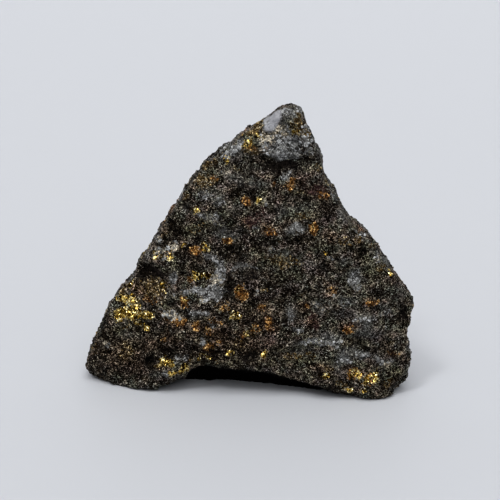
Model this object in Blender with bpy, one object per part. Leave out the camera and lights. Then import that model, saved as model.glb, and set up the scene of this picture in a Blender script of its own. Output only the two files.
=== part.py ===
"""A hand specimen of massive chalcopyrite ore: one rough triangular stone standing on two broken feet.

The stone is a slab. Its outline is drawn as seen square on, the slab is moulded to its thickness, and
a heel fills in the arch between the feet from behind, so that the front is only undercut there. The
breaks, ledges, hollows and lumps are then worked into the skin. Lengths below are in millimetres and
are turned into metres as the mesh is made. +Z is up, -Y is the broad front face, and the origin is on
the floor under the middle of the stone's bounding box.
"""

import math
from typing import NamedTuple

import bmesh
import bpy
import numpy as np
from mathutils import Vector, noise

MM = 0.001

# Driving dimensions.
TIP_HEIGHT = 92.0
SLAB_HALF_DEPTH = 15.0  # half the depth of the plain slab that is moulded
RIM_HALF_DEPTH = 4.2  # half the width of the broken rim that runs round the stone
RIM_FORWARD = 2.2  # how far in front of y = 0 the middle of the rim lies
SHOULDER_POWER = 2.1  # 2 rounds the shoulder as an ellipse, more makes it squarer


class Face(NamedTuple):
    """How far one broad face stands from y = 0, low down and at the tip, and how wide its shoulder is."""

    base_depth: float
    tip_depth: float
    shoulder: float


FRONT_FACE = Face(13.6, 6.6, 6.0)
BACK_FACE = Face(21.0, 8.5, 11.0)
SHAPING_VOXEL = 1.5
SKIN_VOXEL = 1.15
TRIANGLES = 8400
FLOOR_CUT = 1.4  # how much of the lowest lumps the flat contact patches take away
FLOOR_CUTTER = (150.0, 20.0)  # the width and depth of the block that cuts them

# The rim, seen square on from the front: (x, z), anticlockwise from the outer corner of the left foot.
OUTLINE = [
    (-50.0, 1.0),
    (-44.5, -1.0),
    (-36.0, -1.6),
    (-27.5, -1.4),
    (-22.0, 0.6),
    (-18.2, 3.2),
    (-15.4, 7.0),
    (-10.0, 7.6),
    (-5.5, 6.9),
    (1.0, 6.2),
    (6.6, 5.0),
    (14.0, 3.2),
    (20.0, 2.2),
    (26.0, 0.2),
    (31.5, -1.4),
    (38.0, -1.8),
    (44.5, -2.0),
    (48.4, 0.0),
    (51.2, 3.0),
    (51.7, 8.0),
    (51.7, 11.5),
    (50.8, 15.4),
    (50.6, 20.4),
    (51.4, 23.4),
    (51.0, 28.2),
    (50.2, 32.8),
    (46.0, 37.9),
    (42.8, 41.6),
    (40.6, 45.0),
    (37.0, 50.2),
    (34.8, 52.4),
    (32.2, 53.8),
    (29.4, 55.8),
    (27.8, 59.6),
    (25.4, 63.8),
    (22.9, 66.8),
    (21.0, 69.4),
    (21.6, 72.8),
    (20.6, 76.4),
    (18.2, 79.6),
    (17.0, 82.0),
    (15.2, 86.4),
    (13.9, 90.2),
    (10.8, 91.6),
    (7.2, 90.0),
    (4.9, 88.8),
    (3.4, 86.2),
    (0.1, 85.0),
    (-2.9, 82.3),
    (-6.4, 78.8),
    (-9.8, 75.9),
    (-12.0, 74.2),
    (-14.6, 72.8),
    (-16.4, 69.0),
    (-19.6, 64.4),
    (-21.8, 60.8),
    (-24.4, 56.0),
    (-27.6, 50.0),
    (-30.6, 44.6),
    (-34.4, 40.0),
    (-35.3, 37.4),
    (-35.0, 35.4),
    (-39.2, 31.2),
    (-42.8, 25.9),
    (-45.0, 21.0),
    (-46.2, 16.4),
    (-48.8, 11.8),
    (-50.8, 5.6),
]


class Station(NamedTuple):
    """One section across the heel: where along the stone, its front and back edge, and its underside."""

    x: float
    front: float
    back: float
    bottom: float


# The heel stands behind the arch between the feet, which makes the arch an alcove that is open in front.
HEEL = [
    Station(-25.0, -3.4, 8.6, -0.9),
    Station(-15.0, -1.2, 9.8, -1.3),
    Station(-4.0, -1.8, 10.2, -1.9),
    Station(7.0, -2.0, 10.2, -1.5),
    Station(16.0, -4.6, 9.8, -1.8),
    Station(28.0, -6.0, 9.0, -1.3),
]
HEEL_TOP = 12.0
HEEL_LEAN = 2.6  # how much further forward the heel stands at its top than at the floor


class Break(NamedTuple):
    """A flat fracture that takes off everything beyond the plane through point with this outward normal."""

    point: tuple[float, float, float]
    normal: tuple[float, float, float]


BREAKS = [
    # The back, which split along broad planes that meet in ridges.
    Break((0.0, 17.5, 16.0), (0.08, 1.0, 0.16)),
    Break((6.0, 8.0, 64.0), (-0.12, 1.0, 0.36)),
    Break((-27.0, 13.0, 22.0), (-0.62, 1.0, 0.26)),
    Break((33.0, 13.0, 26.0), (0.66, 1.0, 0.12)),
    Break((22.0, 10.0, 50.0), (0.50, 1.0, 0.10)),
    Break((4.0, 16.5, 6.0), (0.05, 0.80, -0.62)),
    # The front, where the two flanks fall away a little from the middle.
    Break((-42.0, -8.8, 22.0), (-0.30, -1.0, 0.12)),
    Break((44.0, -9.8, 22.0), (0.38, -1.0, 0.08)),
    Break((-8.0, -8.8, 68.0), (-0.30, -1.0, 0.16)),
    # The undersides of the feet.
    Break((-47.0, -7.0, 3.0), (-0.62, -0.66, -0.62)),
    Break((48.5, -8.0, 3.0), (0.62, -0.60, -0.50)),
    Break((-36.0, 12.5, 3.0), (-0.15, 0.70, -0.72)),
    Break((40.0, 12.5, 3.0), (0.15, 0.70, -0.72)),
]


class Relief(NamedTuple):
    """A soft-edged swelling (rise above 0) or hollow on one broad face, long along its angle."""

    face: int
    x: float
    z: float
    half_length: float
    half_width: float
    angle: float
    rise: float


FRONT = -1
BACK = 1
RELIEFS = [
    # The shelf of quartz under the tip, and the hollow that it overhangs.
    Relief(FRONT, 8.8, 78.2, 11.0, 3.2, -3.0, 1.8),
    Relief(FRONT, 8.0, 73.4, 13.0, 2.6, -4.0, -1.0),
    Relief(FRONT, 13.3, 86.4, 2.6, 4.4, 8.0, 1.1),
    Relief(FRONT, -4.9, 79.4, 6.0, 3.0, 32.0, 1.2),
    # The open crack that runs in from the notch in the left edge.
    Relief(FRONT, -30.0, 38.0, 6.4, 1.3, -3.0, -2.0),
    Relief(FRONT, -28.6, 41.4, 7.0, 1.8, 2.0, 0.9),
    # The left foot: its brow, the pit in it and the groove above it.
    Relief(FRONT, -30.2, 9.4, 1.9, 1.6, 0.0, -1.9),
    Relief(FRONT, -24.3, 13.2, 4.4, 1.5, -4.0, -1.5),
    Relief(FRONT, -38.3, 10.8, 8.0, 5.0, -12.0, 1.0),
    Relief(FRONT, -21.8, 9.0, 4.8, 1.8, 30.0, 1.2),
    # The swelling of pale quartz on the left, and the dark hollow beside it.
    Relief(FRONT, -17.1, 26.7, 8.0, 3.6, 24.0, 1.1),
    Relief(FRONT, -9.4, 36.7, 2.4, 6.4, 4.0, 0.9),
    Relief(FRONT, -2.5, 33.0, 3.4, 3.2, 0.0, -0.9),
    Relief(FRONT, -7.8, 47.2, 7.4, 1.5, -40.0, -1.0),
    # Low swells and troughs that cross the middle and the right, dropping to the right.
    Relief(FRONT, 11.7, 51.9, 15.0, 3.0, -10.0, 0.9),
    Relief(FRONT, 13.7, 45.6, 16.0, 2.4, -12.0, -0.8),
    Relief(FRONT, 19.5, 34.7, 12.0, 3.6, -18.0, 0.8),
    Relief(FRONT, 32.2, 29.0, 9.0, 2.4, -14.0, 0.9),
    Relief(FRONT, 45.7, 25.9, 6.0, 2.4, -20.0, -1.8),
    Relief(FRONT, 33.1, 19.7, 9.0, 1.8, -8.0, -1.0),
    Relief(FRONT, 36.5, 13.2, 9.0, 3.4, -10.0, 1.1),
    Relief(FRONT, 34.5, 47.4, 1.5, 1.5, 0.0, -1.6),
    Relief(FRONT, 2.5, 12.2, 3.2, 2.4, 20.0, -1.6),
    Relief(FRONT, -10.7, 13.6, 6.0, 2.2, -6.0, 0.8),
    # The back: a long ledge, two scars and a swelling.
    Relief(BACK, -4.0, 34.0, 24.0, 2.6, 24.0, 1.5),
    Relief(BACK, -1.0, 28.4, 22.0, 2.4, 24.0, -1.4),
    Relief(BACK, 18.0, 16.0, 9.0, 6.0, -10.0, -1.7),
    Relief(BACK, 8.0, 60.0, 9.0, 5.0, 60.0, 1.2),
    Relief(BACK, -30.0, 12.0, 7.0, 5.0, 12.0, 1.2),
]

# Skin texture: (size of the facets or lumps, how far they stand up or sink).
STEP_FACETS = (9.0, 1.15)
CHIP_FACETS = (4.0, 0.42)
LUMPS = (11.0, 0.55)
BAND_DROP = 12.0  # the ore broke along bands that drop to the right by this angle
BAND_STRETCH = 1.7  # how much longer its facets are along the bands than across them
RIM_WANDER = (17.0, 2.4)
RIM_SHARE = 0.35  # how much of the texture reaches the rim, which keeps its drawn outline


def add_slab() -> bpy.types.Object:
    """A flat-sided slab with the stone's outline, cut into even faces ready to be moulded."""
    mesh = bpy.data.meshes.new("chalcopyrite_rock")
    shape = bmesh.new()
    rim = [shape.verts.new((x * MM, -SLAB_HALF_DEPTH * MM, z * MM)) for x, z in OUTLINE]
    face = shape.faces.new(rim)
    pushed = bmesh.ops.extrude_face_region(shape, geom=[face])["geom"]
    back = [item for item in pushed if isinstance(item, bmesh.types.BMVert)]
    bmesh.ops.translate(shape, verts=back, vec=(0, 2 * SLAB_HALF_DEPTH * MM, 0))
    bmesh.ops.recalc_face_normals(shape, faces=shape.faces)
    shape.to_mesh(mesh)
    shape.free()
    slab = bpy.data.objects.new("chalcopyrite_rock", mesh)
    bpy.context.scene.collection.objects.link(slab)
    remesh(slab, SHAPING_VOXEL)
    return slab


def bake_modifiers(stone: bpy.types.Object) -> None:
    """Replace the stone's mesh with the one that its modifiers make."""
    evaluated = stone.evaluated_get(bpy.context.evaluated_depsgraph_get())
    mesh = bpy.data.meshes.new_from_object(evaluated)
    stone.modifiers.clear()
    old = stone.data
    stone.data = mesh
    mesh.name = "chalcopyrite_rock"
    bpy.data.meshes.remove(old)


def remesh(stone: bpy.types.Object, voxel: float) -> None:
    """Give the stone an even skin of small square faces."""
    modifier = stone.modifiers.new("Even skin", "REMESH")
    modifier.mode = "VOXEL"
    modifier.voxel_size = voxel * MM
    bake_modifiers(stone)


def points_of(stone: bpy.types.Object) -> np.ndarray:
    """The stone's points in millimetres, one row each."""
    flat = np.empty(len(stone.data.vertices) * 3)
    stone.data.vertices.foreach_get("co", flat)
    return flat.reshape(-1, 3) / MM


def normals_of(stone: bpy.types.Object) -> np.ndarray:
    """The outward direction at each of the stone's points."""
    flat = np.empty(len(stone.data.vertices) * 3)
    stone.data.vertices.foreach_get("normal", flat)
    return flat.reshape(-1, 3)


def set_points(stone: bpy.types.Object, points: np.ndarray) -> None:
    """Move the stone's points to these places, in millimetres."""
    stone.data.vertices.foreach_set("co", (points * MM).ravel())
    stone.data.update()


def distance_to_rim(points: np.ndarray) -> np.ndarray:
    """How far in from the outline each point is, seen square on."""
    flat = points[:, [0, 2]]
    nearest = np.full(len(flat), np.inf)
    ends = np.array(OUTLINE)
    for start, end in zip(ends, np.roll(ends, -1, axis=0)):
        side = end - start
        along = np.clip((flat - start) @ side / (side @ side), 0.0, 1.0)
        offset = flat - (start + along[:, None] * side)
        nearest = np.minimum(nearest, np.hypot(offset[:, 0], offset[:, 1]))
    return nearest


def half_depth(points: np.ndarray, inward: np.ndarray, face: Face) -> np.ndarray:
    """How far this broad face stands from the middle of the rim at each point."""
    height = np.clip(points[:, 2] / TIP_HEIGHT, 0.0, 1.0)
    full = face.base_depth + (face.tip_depth - face.base_depth) * height**1.25
    outward = 1.0 - np.clip(inward / face.shoulder, 0.0, 1.0)
    rounding = (1.0 - outward**SHOULDER_POWER) ** (1.0 / SHOULDER_POWER)
    return RIM_HALF_DEPTH + (full - RIM_HALF_DEPTH) * rounding


def mould(stone: bpy.types.Object) -> None:
    """Thin the slab towards its tip, round its shoulders and let its rim wander to and fro."""
    points = points_of(stone)
    inward = distance_to_rim(points)
    front = half_depth(points, inward, FRONT_FACE)
    back = half_depth(points, inward, BACK_FACE)
    size, reach = RIM_WANDER
    wander = [noise.noise(Vector((x, 0.0, z)) / size) for x, _, z in points]
    edge = 1.0 - np.clip(inward / FRONT_FACE.shoulder, 0.0, 1.0)
    points[:, 1] *= np.where(points[:, 1] < 0.0, front, back) / SLAB_HALF_DEPTH
    points[:, 1] += (np.array(wander) * reach - RIM_FORWARD) * edge
    set_points(stone, points)


def add_heel(stone: bpy.types.Object) -> None:
    """Stand the heel behind the arch. The next even skin makes it one with the stone."""
    shape = bmesh.new()
    shape.from_mesh(stone.data)
    rings = []
    for station in HEEL:
        section = (
            (station.front, station.bottom),
            (station.front - HEEL_LEAN, HEEL_TOP),
            (station.back, HEEL_TOP),
            (station.back, station.bottom),
        )
        rings.append([shape.verts.new((station.x * MM, y * MM, z * MM)) for y, z in section])
    faces = [shape.faces.new(rings[0]), shape.faces.new(rings[-1][::-1])]
    for near, far in zip(rings, rings[1:]):
        for corner in range(4):
            after = (corner + 1) % 4
            faces.append(shape.faces.new((near[corner], far[corner], far[after], near[after])))
    bmesh.ops.recalc_face_normals(shape, faces=faces)
    shape.to_mesh(stone.data)
    shape.free()


def break_flat(stone: bpy.types.Object) -> None:
    """Press everything beyond each fracture plane back onto it, which leaves flat faces and sharp edges."""
    points = points_of(stone)
    for cut in BREAKS:
        normal = np.array(cut.normal) / np.linalg.norm(cut.normal)
        beyond = np.maximum((points - cut.point) @ normal, 0.0)
        points -= beyond[:, None] * normal
    set_points(stone, points)


def relief_at(points: np.ndarray, normals: np.ndarray) -> np.ndarray:
    """The height of the ledges, hollows and swellings at each point."""
    height = np.zeros(len(points))
    for mark in RELIEFS:
        turn = math.radians(mark.angle)
        across = points[:, 0] - mark.x
        up = points[:, 2] - mark.z
        u = (across * math.cos(turn) + up * math.sin(turn)) / mark.half_length
        v = (up * math.cos(turn) - across * math.sin(turn)) / mark.half_width
        facing = np.clip(normals[:, 1] * mark.face, 0.0, 1.0)
        height += mark.rise * np.exp(-(u**2 + v**2)) * facing
    return height


def along_bands(point: Vector) -> Vector:
    """The point in a space where the long facets of the banded ore are as long as they are high."""
    drop = math.radians(BAND_DROP)
    along = point.x * math.cos(drop) - point.z * math.sin(drop)
    across = point.z * math.cos(drop) + point.x * math.sin(drop)
    return Vector((along / BAND_STRETCH, point.y, across))


def facet_height(point: Vector, size: float) -> float:
    """Height, from -1 to 1, of a skin of flat chips: each cell of a foam is a plane with its own tilt."""
    place = point / size
    centre = noise.voronoi(place)[1][0]
    tilt = noise.cell_vector(centre * 7.3)
    step = noise.cell(centre * 5.1)
    return max(-1.0, min(1.0, 1.1 * tilt.dot(place - centre) + 0.5 * step - 0.25))


def roughen(stone: bpy.types.Object) -> None:
    """Work the ledges and hollows, then the stepped facets, the chips and the lumps, into the skin."""
    points = points_of(stone)
    normals = normals_of(stone)
    texture = np.zeros(len(points))
    for index, point in enumerate(map(Vector, points)):
        texture[index] += STEP_FACETS[1] * facet_height(along_bands(point), STEP_FACETS[0])
        texture[index] += CHIP_FACETS[1] * facet_height(point, CHIP_FACETS[0])
        texture[index] += LUMPS[1] * noise.fractal(point / LUMPS[0], 0.9, 2.1, 3)
    share = RIM_SHARE + (1.0 - RIM_SHARE) * np.abs(normals[:, 1])
    height = relief_at(points, normals) + texture * share
    set_points(stone, points + normals * height[:, None])


def simplify(stone: bpy.types.Object) -> None:
    """Keep the faces where the skin bends and spare them where it is flat."""
    stone.data.calc_loop_triangles()
    modifier = stone.modifiers.new("Fewer faces", "DECIMATE")
    modifier.ratio = TRIANGLES / len(stone.data.loop_triangles)
    bake_modifiers(stone)


def set_on_floor(stone: bpy.types.Object) -> None:
    """Cut the stone flat where it meets the floor, and centre it over the origin."""
    width, depth = FLOOR_CUTTER
    top = points_of(stone)[:, 2].min() + FLOOR_CUT
    bpy.ops.mesh.primitive_cube_add(size=1.0, location=(0, 0, (top - depth / 2) * MM))
    floor = bpy.context.object
    floor.name = "floor_cutter"
    floor.scale = (width * MM, width * MM, depth * MM)
    floor.hide_render = True
    floor.display_type = "WIRE"
    bpy.context.view_layer.update()
    modifier = stone.modifiers.new("Flat feet", "BOOLEAN")
    modifier.object = floor
    modifier.operation = "DIFFERENCE"
    bake_modifiers(stone)
    bpy.data.objects.remove(floor)
    points = points_of(stone)
    middle = (points.min(axis=0) + points.max(axis=0)) / 2
    middle[2] = points[:, 2].min()
    set_points(stone, points - middle)


def ore_material() -> bpy.types.Material:
    """Dark brown-grey sulphide ore with a dull metallic sheen."""
    material = bpy.data.materials.new("massive_ore")
    material.use_nodes = True
    surface = material.node_tree.nodes["Principled BSDF"]
    surface.inputs["Base Color"].default_value = (0.060, 0.048, 0.034, 1.0)
    surface.inputs["Roughness"].default_value = 0.48
    surface.inputs["Metallic"].default_value = 0.35
    return material


def main() -> None:
    """Build the stone."""
    for obj in list(bpy.data.objects):
        bpy.data.objects.remove(obj)
    stone = add_slab()
    mould(stone)
    break_flat(stone)
    add_heel(stone)
    remesh(stone, SKIN_VOXEL)
    roughen(stone)
    simplify(stone)
    set_on_floor(stone)
    stone.data.materials.clear()
    stone.data.materials.append(ore_material())


main()
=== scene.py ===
"""The looks of a hand specimen of massive chalcopyrite ore.

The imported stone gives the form. Here it gets its finely broken skin, the minerals that the skin is made
of, and the grains that stand out of it: brassy chalcopyrite, cloudy quartz, dark sulphides and copper-red
tarnish. Lengths in the classes are millimetres on the stone and become metres as the meshes are made.
"""

import logging
import math
from dataclasses import dataclass
from dataclasses import field
from enum import Enum

import bpy
import numpy as np
from mathutils import Matrix
from mathutils import Vector
from mathutils import noise
from mathutils.bvhtree import BVHTree


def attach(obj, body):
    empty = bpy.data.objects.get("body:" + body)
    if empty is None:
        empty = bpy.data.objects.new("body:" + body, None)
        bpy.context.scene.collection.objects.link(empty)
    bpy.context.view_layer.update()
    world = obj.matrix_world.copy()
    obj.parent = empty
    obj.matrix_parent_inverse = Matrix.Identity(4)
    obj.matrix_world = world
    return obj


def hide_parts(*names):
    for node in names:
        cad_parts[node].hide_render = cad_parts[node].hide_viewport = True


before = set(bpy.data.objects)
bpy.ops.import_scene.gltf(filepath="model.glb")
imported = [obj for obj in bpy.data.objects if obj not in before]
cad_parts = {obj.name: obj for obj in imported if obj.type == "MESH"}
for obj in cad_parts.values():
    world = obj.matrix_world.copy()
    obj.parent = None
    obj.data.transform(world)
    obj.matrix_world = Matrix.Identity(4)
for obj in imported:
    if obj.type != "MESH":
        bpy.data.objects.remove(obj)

MM = 0.001
NODE = "chalcopyrite_rock"
BODY = "root"
BEND_SEED = 7  # noise_vector draws from the clock unless it has a seed, and then no two runs agree
FALLOFF = 0.7  # how fast a patch fades from its heart
log = logging.getLogger("chalcopyrite")

Colour = tuple[float, float, float]
Object = bpy.types.Object


class Mineral(Enum):
    """What a spot of the broken skin is made of, by the name of its mask on the mesh. The black mineral also
    carries painted shade, and the cream one painted highlights.
    """

    GOLD = "fresh_chalcopyrite"
    BRASS = "dull_chalcopyrite"
    COPPER = "copper_tarnish"
    BORNITE = "bornite"
    QUARTZ = "grey_quartz"
    # partly painted highlight: the bright spots on the fresh chalcopyrite cluster of the front stand for its
    # glints; elsewhere it is cream quartz
    CREAM = "cream_quartz"
    # partly painted shade: on the front its spots sit in the pits, cracks and under the ledges and stand for
    # their shadow; elsewhere it is a black mineral
    DARK = "black_sphalerite"


class Film(Enum):
    """A part of the skin that is one even tone, by the name of its mask on the mesh: a smooth quartz face,
    and the undercut between the feet painted near black as shade.
    """

    PLATE = "smooth_quartz"
    # painted shade: the undercut between the feet is coloured near black, as if in shadow
    UNDERCUT_SHADE = "painted_undercut_shade"


class Wash(Enum):
    """A broad change of tone of the fine-grained ore, by the name of its mask on the mesh; the darkening one
    is partly painted shade.
    """

    HAZE = "pale_haze"
    # partly painted shade: on the front it darkens pits, cracks, the band under the tip's shelf and the row
    # above the undercut as if in shadow; elsewhere it marks darker patches of ore
    SMOKE = "smoky_hollow"
    RUST = "rusty_film"
    OLIVE = "olive_film"
    PLUM = "plum_film"


@dataclass(frozen=True)
class Patch:
    """A blob on the front face: its middle, its two half sizes, how far it is turned and its strength."""

    x: float
    z: float
    half_length: float
    half_width: float
    turn: float = 0.0
    strength: float = 1.0

    def reach(self, points: np.ndarray) -> np.ndarray:
        """Measure how far out of its middle places are.

        Args:
            points: Places on the front face, in millimetres.

        Returns:
            For each place 0 at the middle and 1 on the rim.
        """
        turn = math.radians(self.turn)
        across = points[:, 0] - self.x
        up = points[:, 2] - self.z
        u = (across * math.cos(turn) + up * math.sin(turn)) / self.half_length
        v = (up * math.cos(turn) - across * math.sin(turn)) / self.half_width
        return np.hypot(u, v)


@dataclass(frozen=True)
class Mark:
    """A blob as the camera sees it, before it is laid on the stone.

    Its middle and half sizes are in points of the view, from the view's left and top edges.
    """

    across: float
    down: float
    half_length: float
    half_width: float
    strength: float
    turn: float = 0.0


def marks(*rows: tuple[float, ...]) -> list[Mark]:
    """Make marks of rows that give their fields in order.

    Args:
        *rows: For each mark its numbers, the last of which may be left out.

    Returns:
        The marks.
    """
    return [Mark(*row) for row in rows]


@dataclass(frozen=True)
class View:
    """Where the camera stands, for the camera itself and for the marks that are laid through it."""

    target: tuple[float, float, float] = (-0.45, -2.55, 44.08)
    distance: float = 500.0
    elevation: float = 20.0
    roll: float = 2.0
    middle: float = 250.0  # the middle of the view, in its points
    point: float = 0.3096  # the width of one of its points at the target

    def axes(self) -> tuple[np.ndarray, np.ndarray, np.ndarray]:
        """Work out which way is right, which is up and which is back to the camera."""
        tilt = math.radians(self.elevation)
        roll = math.radians(self.roll)
        back = np.array([0.0, -math.cos(tilt), math.sin(tilt)])
        side = np.array([1.0, 0.0, 0.0])
        up = np.cross(back, side)
        right = side * math.cos(roll) + up * math.sin(roll)
        return right, up * math.cos(roll) - side * math.sin(roll), back

    def eye(self) -> np.ndarray:
        """Work out where the camera stands, in millimetres."""
        return np.array(self.target) + self.distance * self.axes()[2]


class Sight:
    """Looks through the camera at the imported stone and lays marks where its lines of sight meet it."""

    centre: tuple[float, float] = (250.0, 280.0)  # the stone's middle in the view
    steps: int = 60  # a mark beside the stone moves to the middle in steps, and is on it before half way
    size: float = 0.31  # the width of a point of the view on the stone
    grid: float = 0.5  # places are rounded to this, so that a mark stays put on a remade mesh

    def __init__(self, view: View, stone: Object) -> None:
        """Make the stone ready to be looked at.

        Args:
            view: Where the camera stands.
            stone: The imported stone.
        """
        corners = [vertex.co * (1.0 / MM) for vertex in stone.data.vertices]
        faces = [tuple(face.vertices) for face in stone.data.polygons]
        self.tree = BVHTree.FromPolygons(corners, faces)
        self.view = view

    def _seen(self, across: float, down: float) -> Vector | None:
        """Find the place on the stone at a point of the view.

        Args:
            across: How far the point is from the view's left edge.
            down: How far it is from the top edge.

        Returns:
            The place in millimetres, or None beside the stone.
        """
        view = self.view
        right, up, back = view.axes()
        span = view.distance / view.point
        ray = ((across - view.middle) / span) * right - ((down - view.middle) / span) * up - back
        return self.tree.ray_cast(Vector(view.eye()), Vector(ray / np.linalg.norm(ray)))[0]

    def _lay(self, mark: Mark) -> Patch:
        """Lay one mark on the stone.

        Args:
            mark: The mark.

        Returns:
            The patch that it makes.
        """
        for step in range(self.steps // 2):
            across = mark.across + (self.centre[0] - mark.across) * step / self.steps
            down = mark.down + (self.centre[1] - mark.down) * step / self.steps
            place = self._seen(across, down)
            if place is not None:
                break
        return Patch(
            round(place.x / self.grid) * self.grid,
            round(place.z / self.grid) * self.grid,
            round(mark.half_length * self.size, 1),
            round(mark.half_width * self.size, 1),
            mark.turn,
            mark.strength,
        )

    def lay(self, seen: list[Mark]) -> list[Patch]:
        """Lay marks on the stone and give the patches that they make."""
        return [self._lay(mark) for mark in seen]


FRONT_HOLLOWS: list[Mark] = marks(  # pits, cracks and undercuts, with their depths as strengths
    (149, 361, 3.5, 4.5, 1.6, 20), (168, 352, 9, 4, 1.2, -12), (364, 252, 3, 3.5, 1.5),
    (349, 265, 4, 1.6, 1.2, 65), (324, 267, 4, 2, 1.2, 20), (310, 290, 3, 2, 1.2),
    (156, 276, 14, 3, 1.0, -14), (172, 305, 5, 3, 1.3), (269, 133.5, 7, 1.5, 1.4, -12),
    (284, 125, 2.5, 3.5, 1.4), (298, 144, 6, 4, 1.4, -25), (232, 254, 12, 5, 1.0, 25),
    (285, 168, 18, 3.5, 0.6, -5), (403, 314, 8, 4, 1.4, 80), (196, 259, 6, 3, 1.0, -20),
    (362, 344, 8, 3, 1.2, 10), (378, 352, 7, 2.5, 1.2, 35), (262, 246, 8, 3, 0.8),
    (303, 241, 9, 3, 0.8, 10), (211, 350, 4, 3, 1.0), (252, 357, 6, 5, 1.2), (184, 276, 3, 7, 0.6),
    (228, 290, 4, 11, 0.9),
)

FRONT_LIP = (  # the lower edge of the front between the feet, x and z, above the undercut that is painted near black as shade
    (-19.6, 0.0), (-18.2, 6.6), (-17.2, 8.6), (-13.3, 9.7), (-8.5, 9.9), (-2.2, 9.2), (4.0, 8.8), (10.2, 7.2),
    (16.5, 5.2), (22.7, 3.6), (29.0, 1.4), (33.0, 0.0),
)

FRONT_PLATE = Patch(4.8, 88.0, 4.2, 2.1, 66)  # the cleavage face of quartz under the tip

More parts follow.
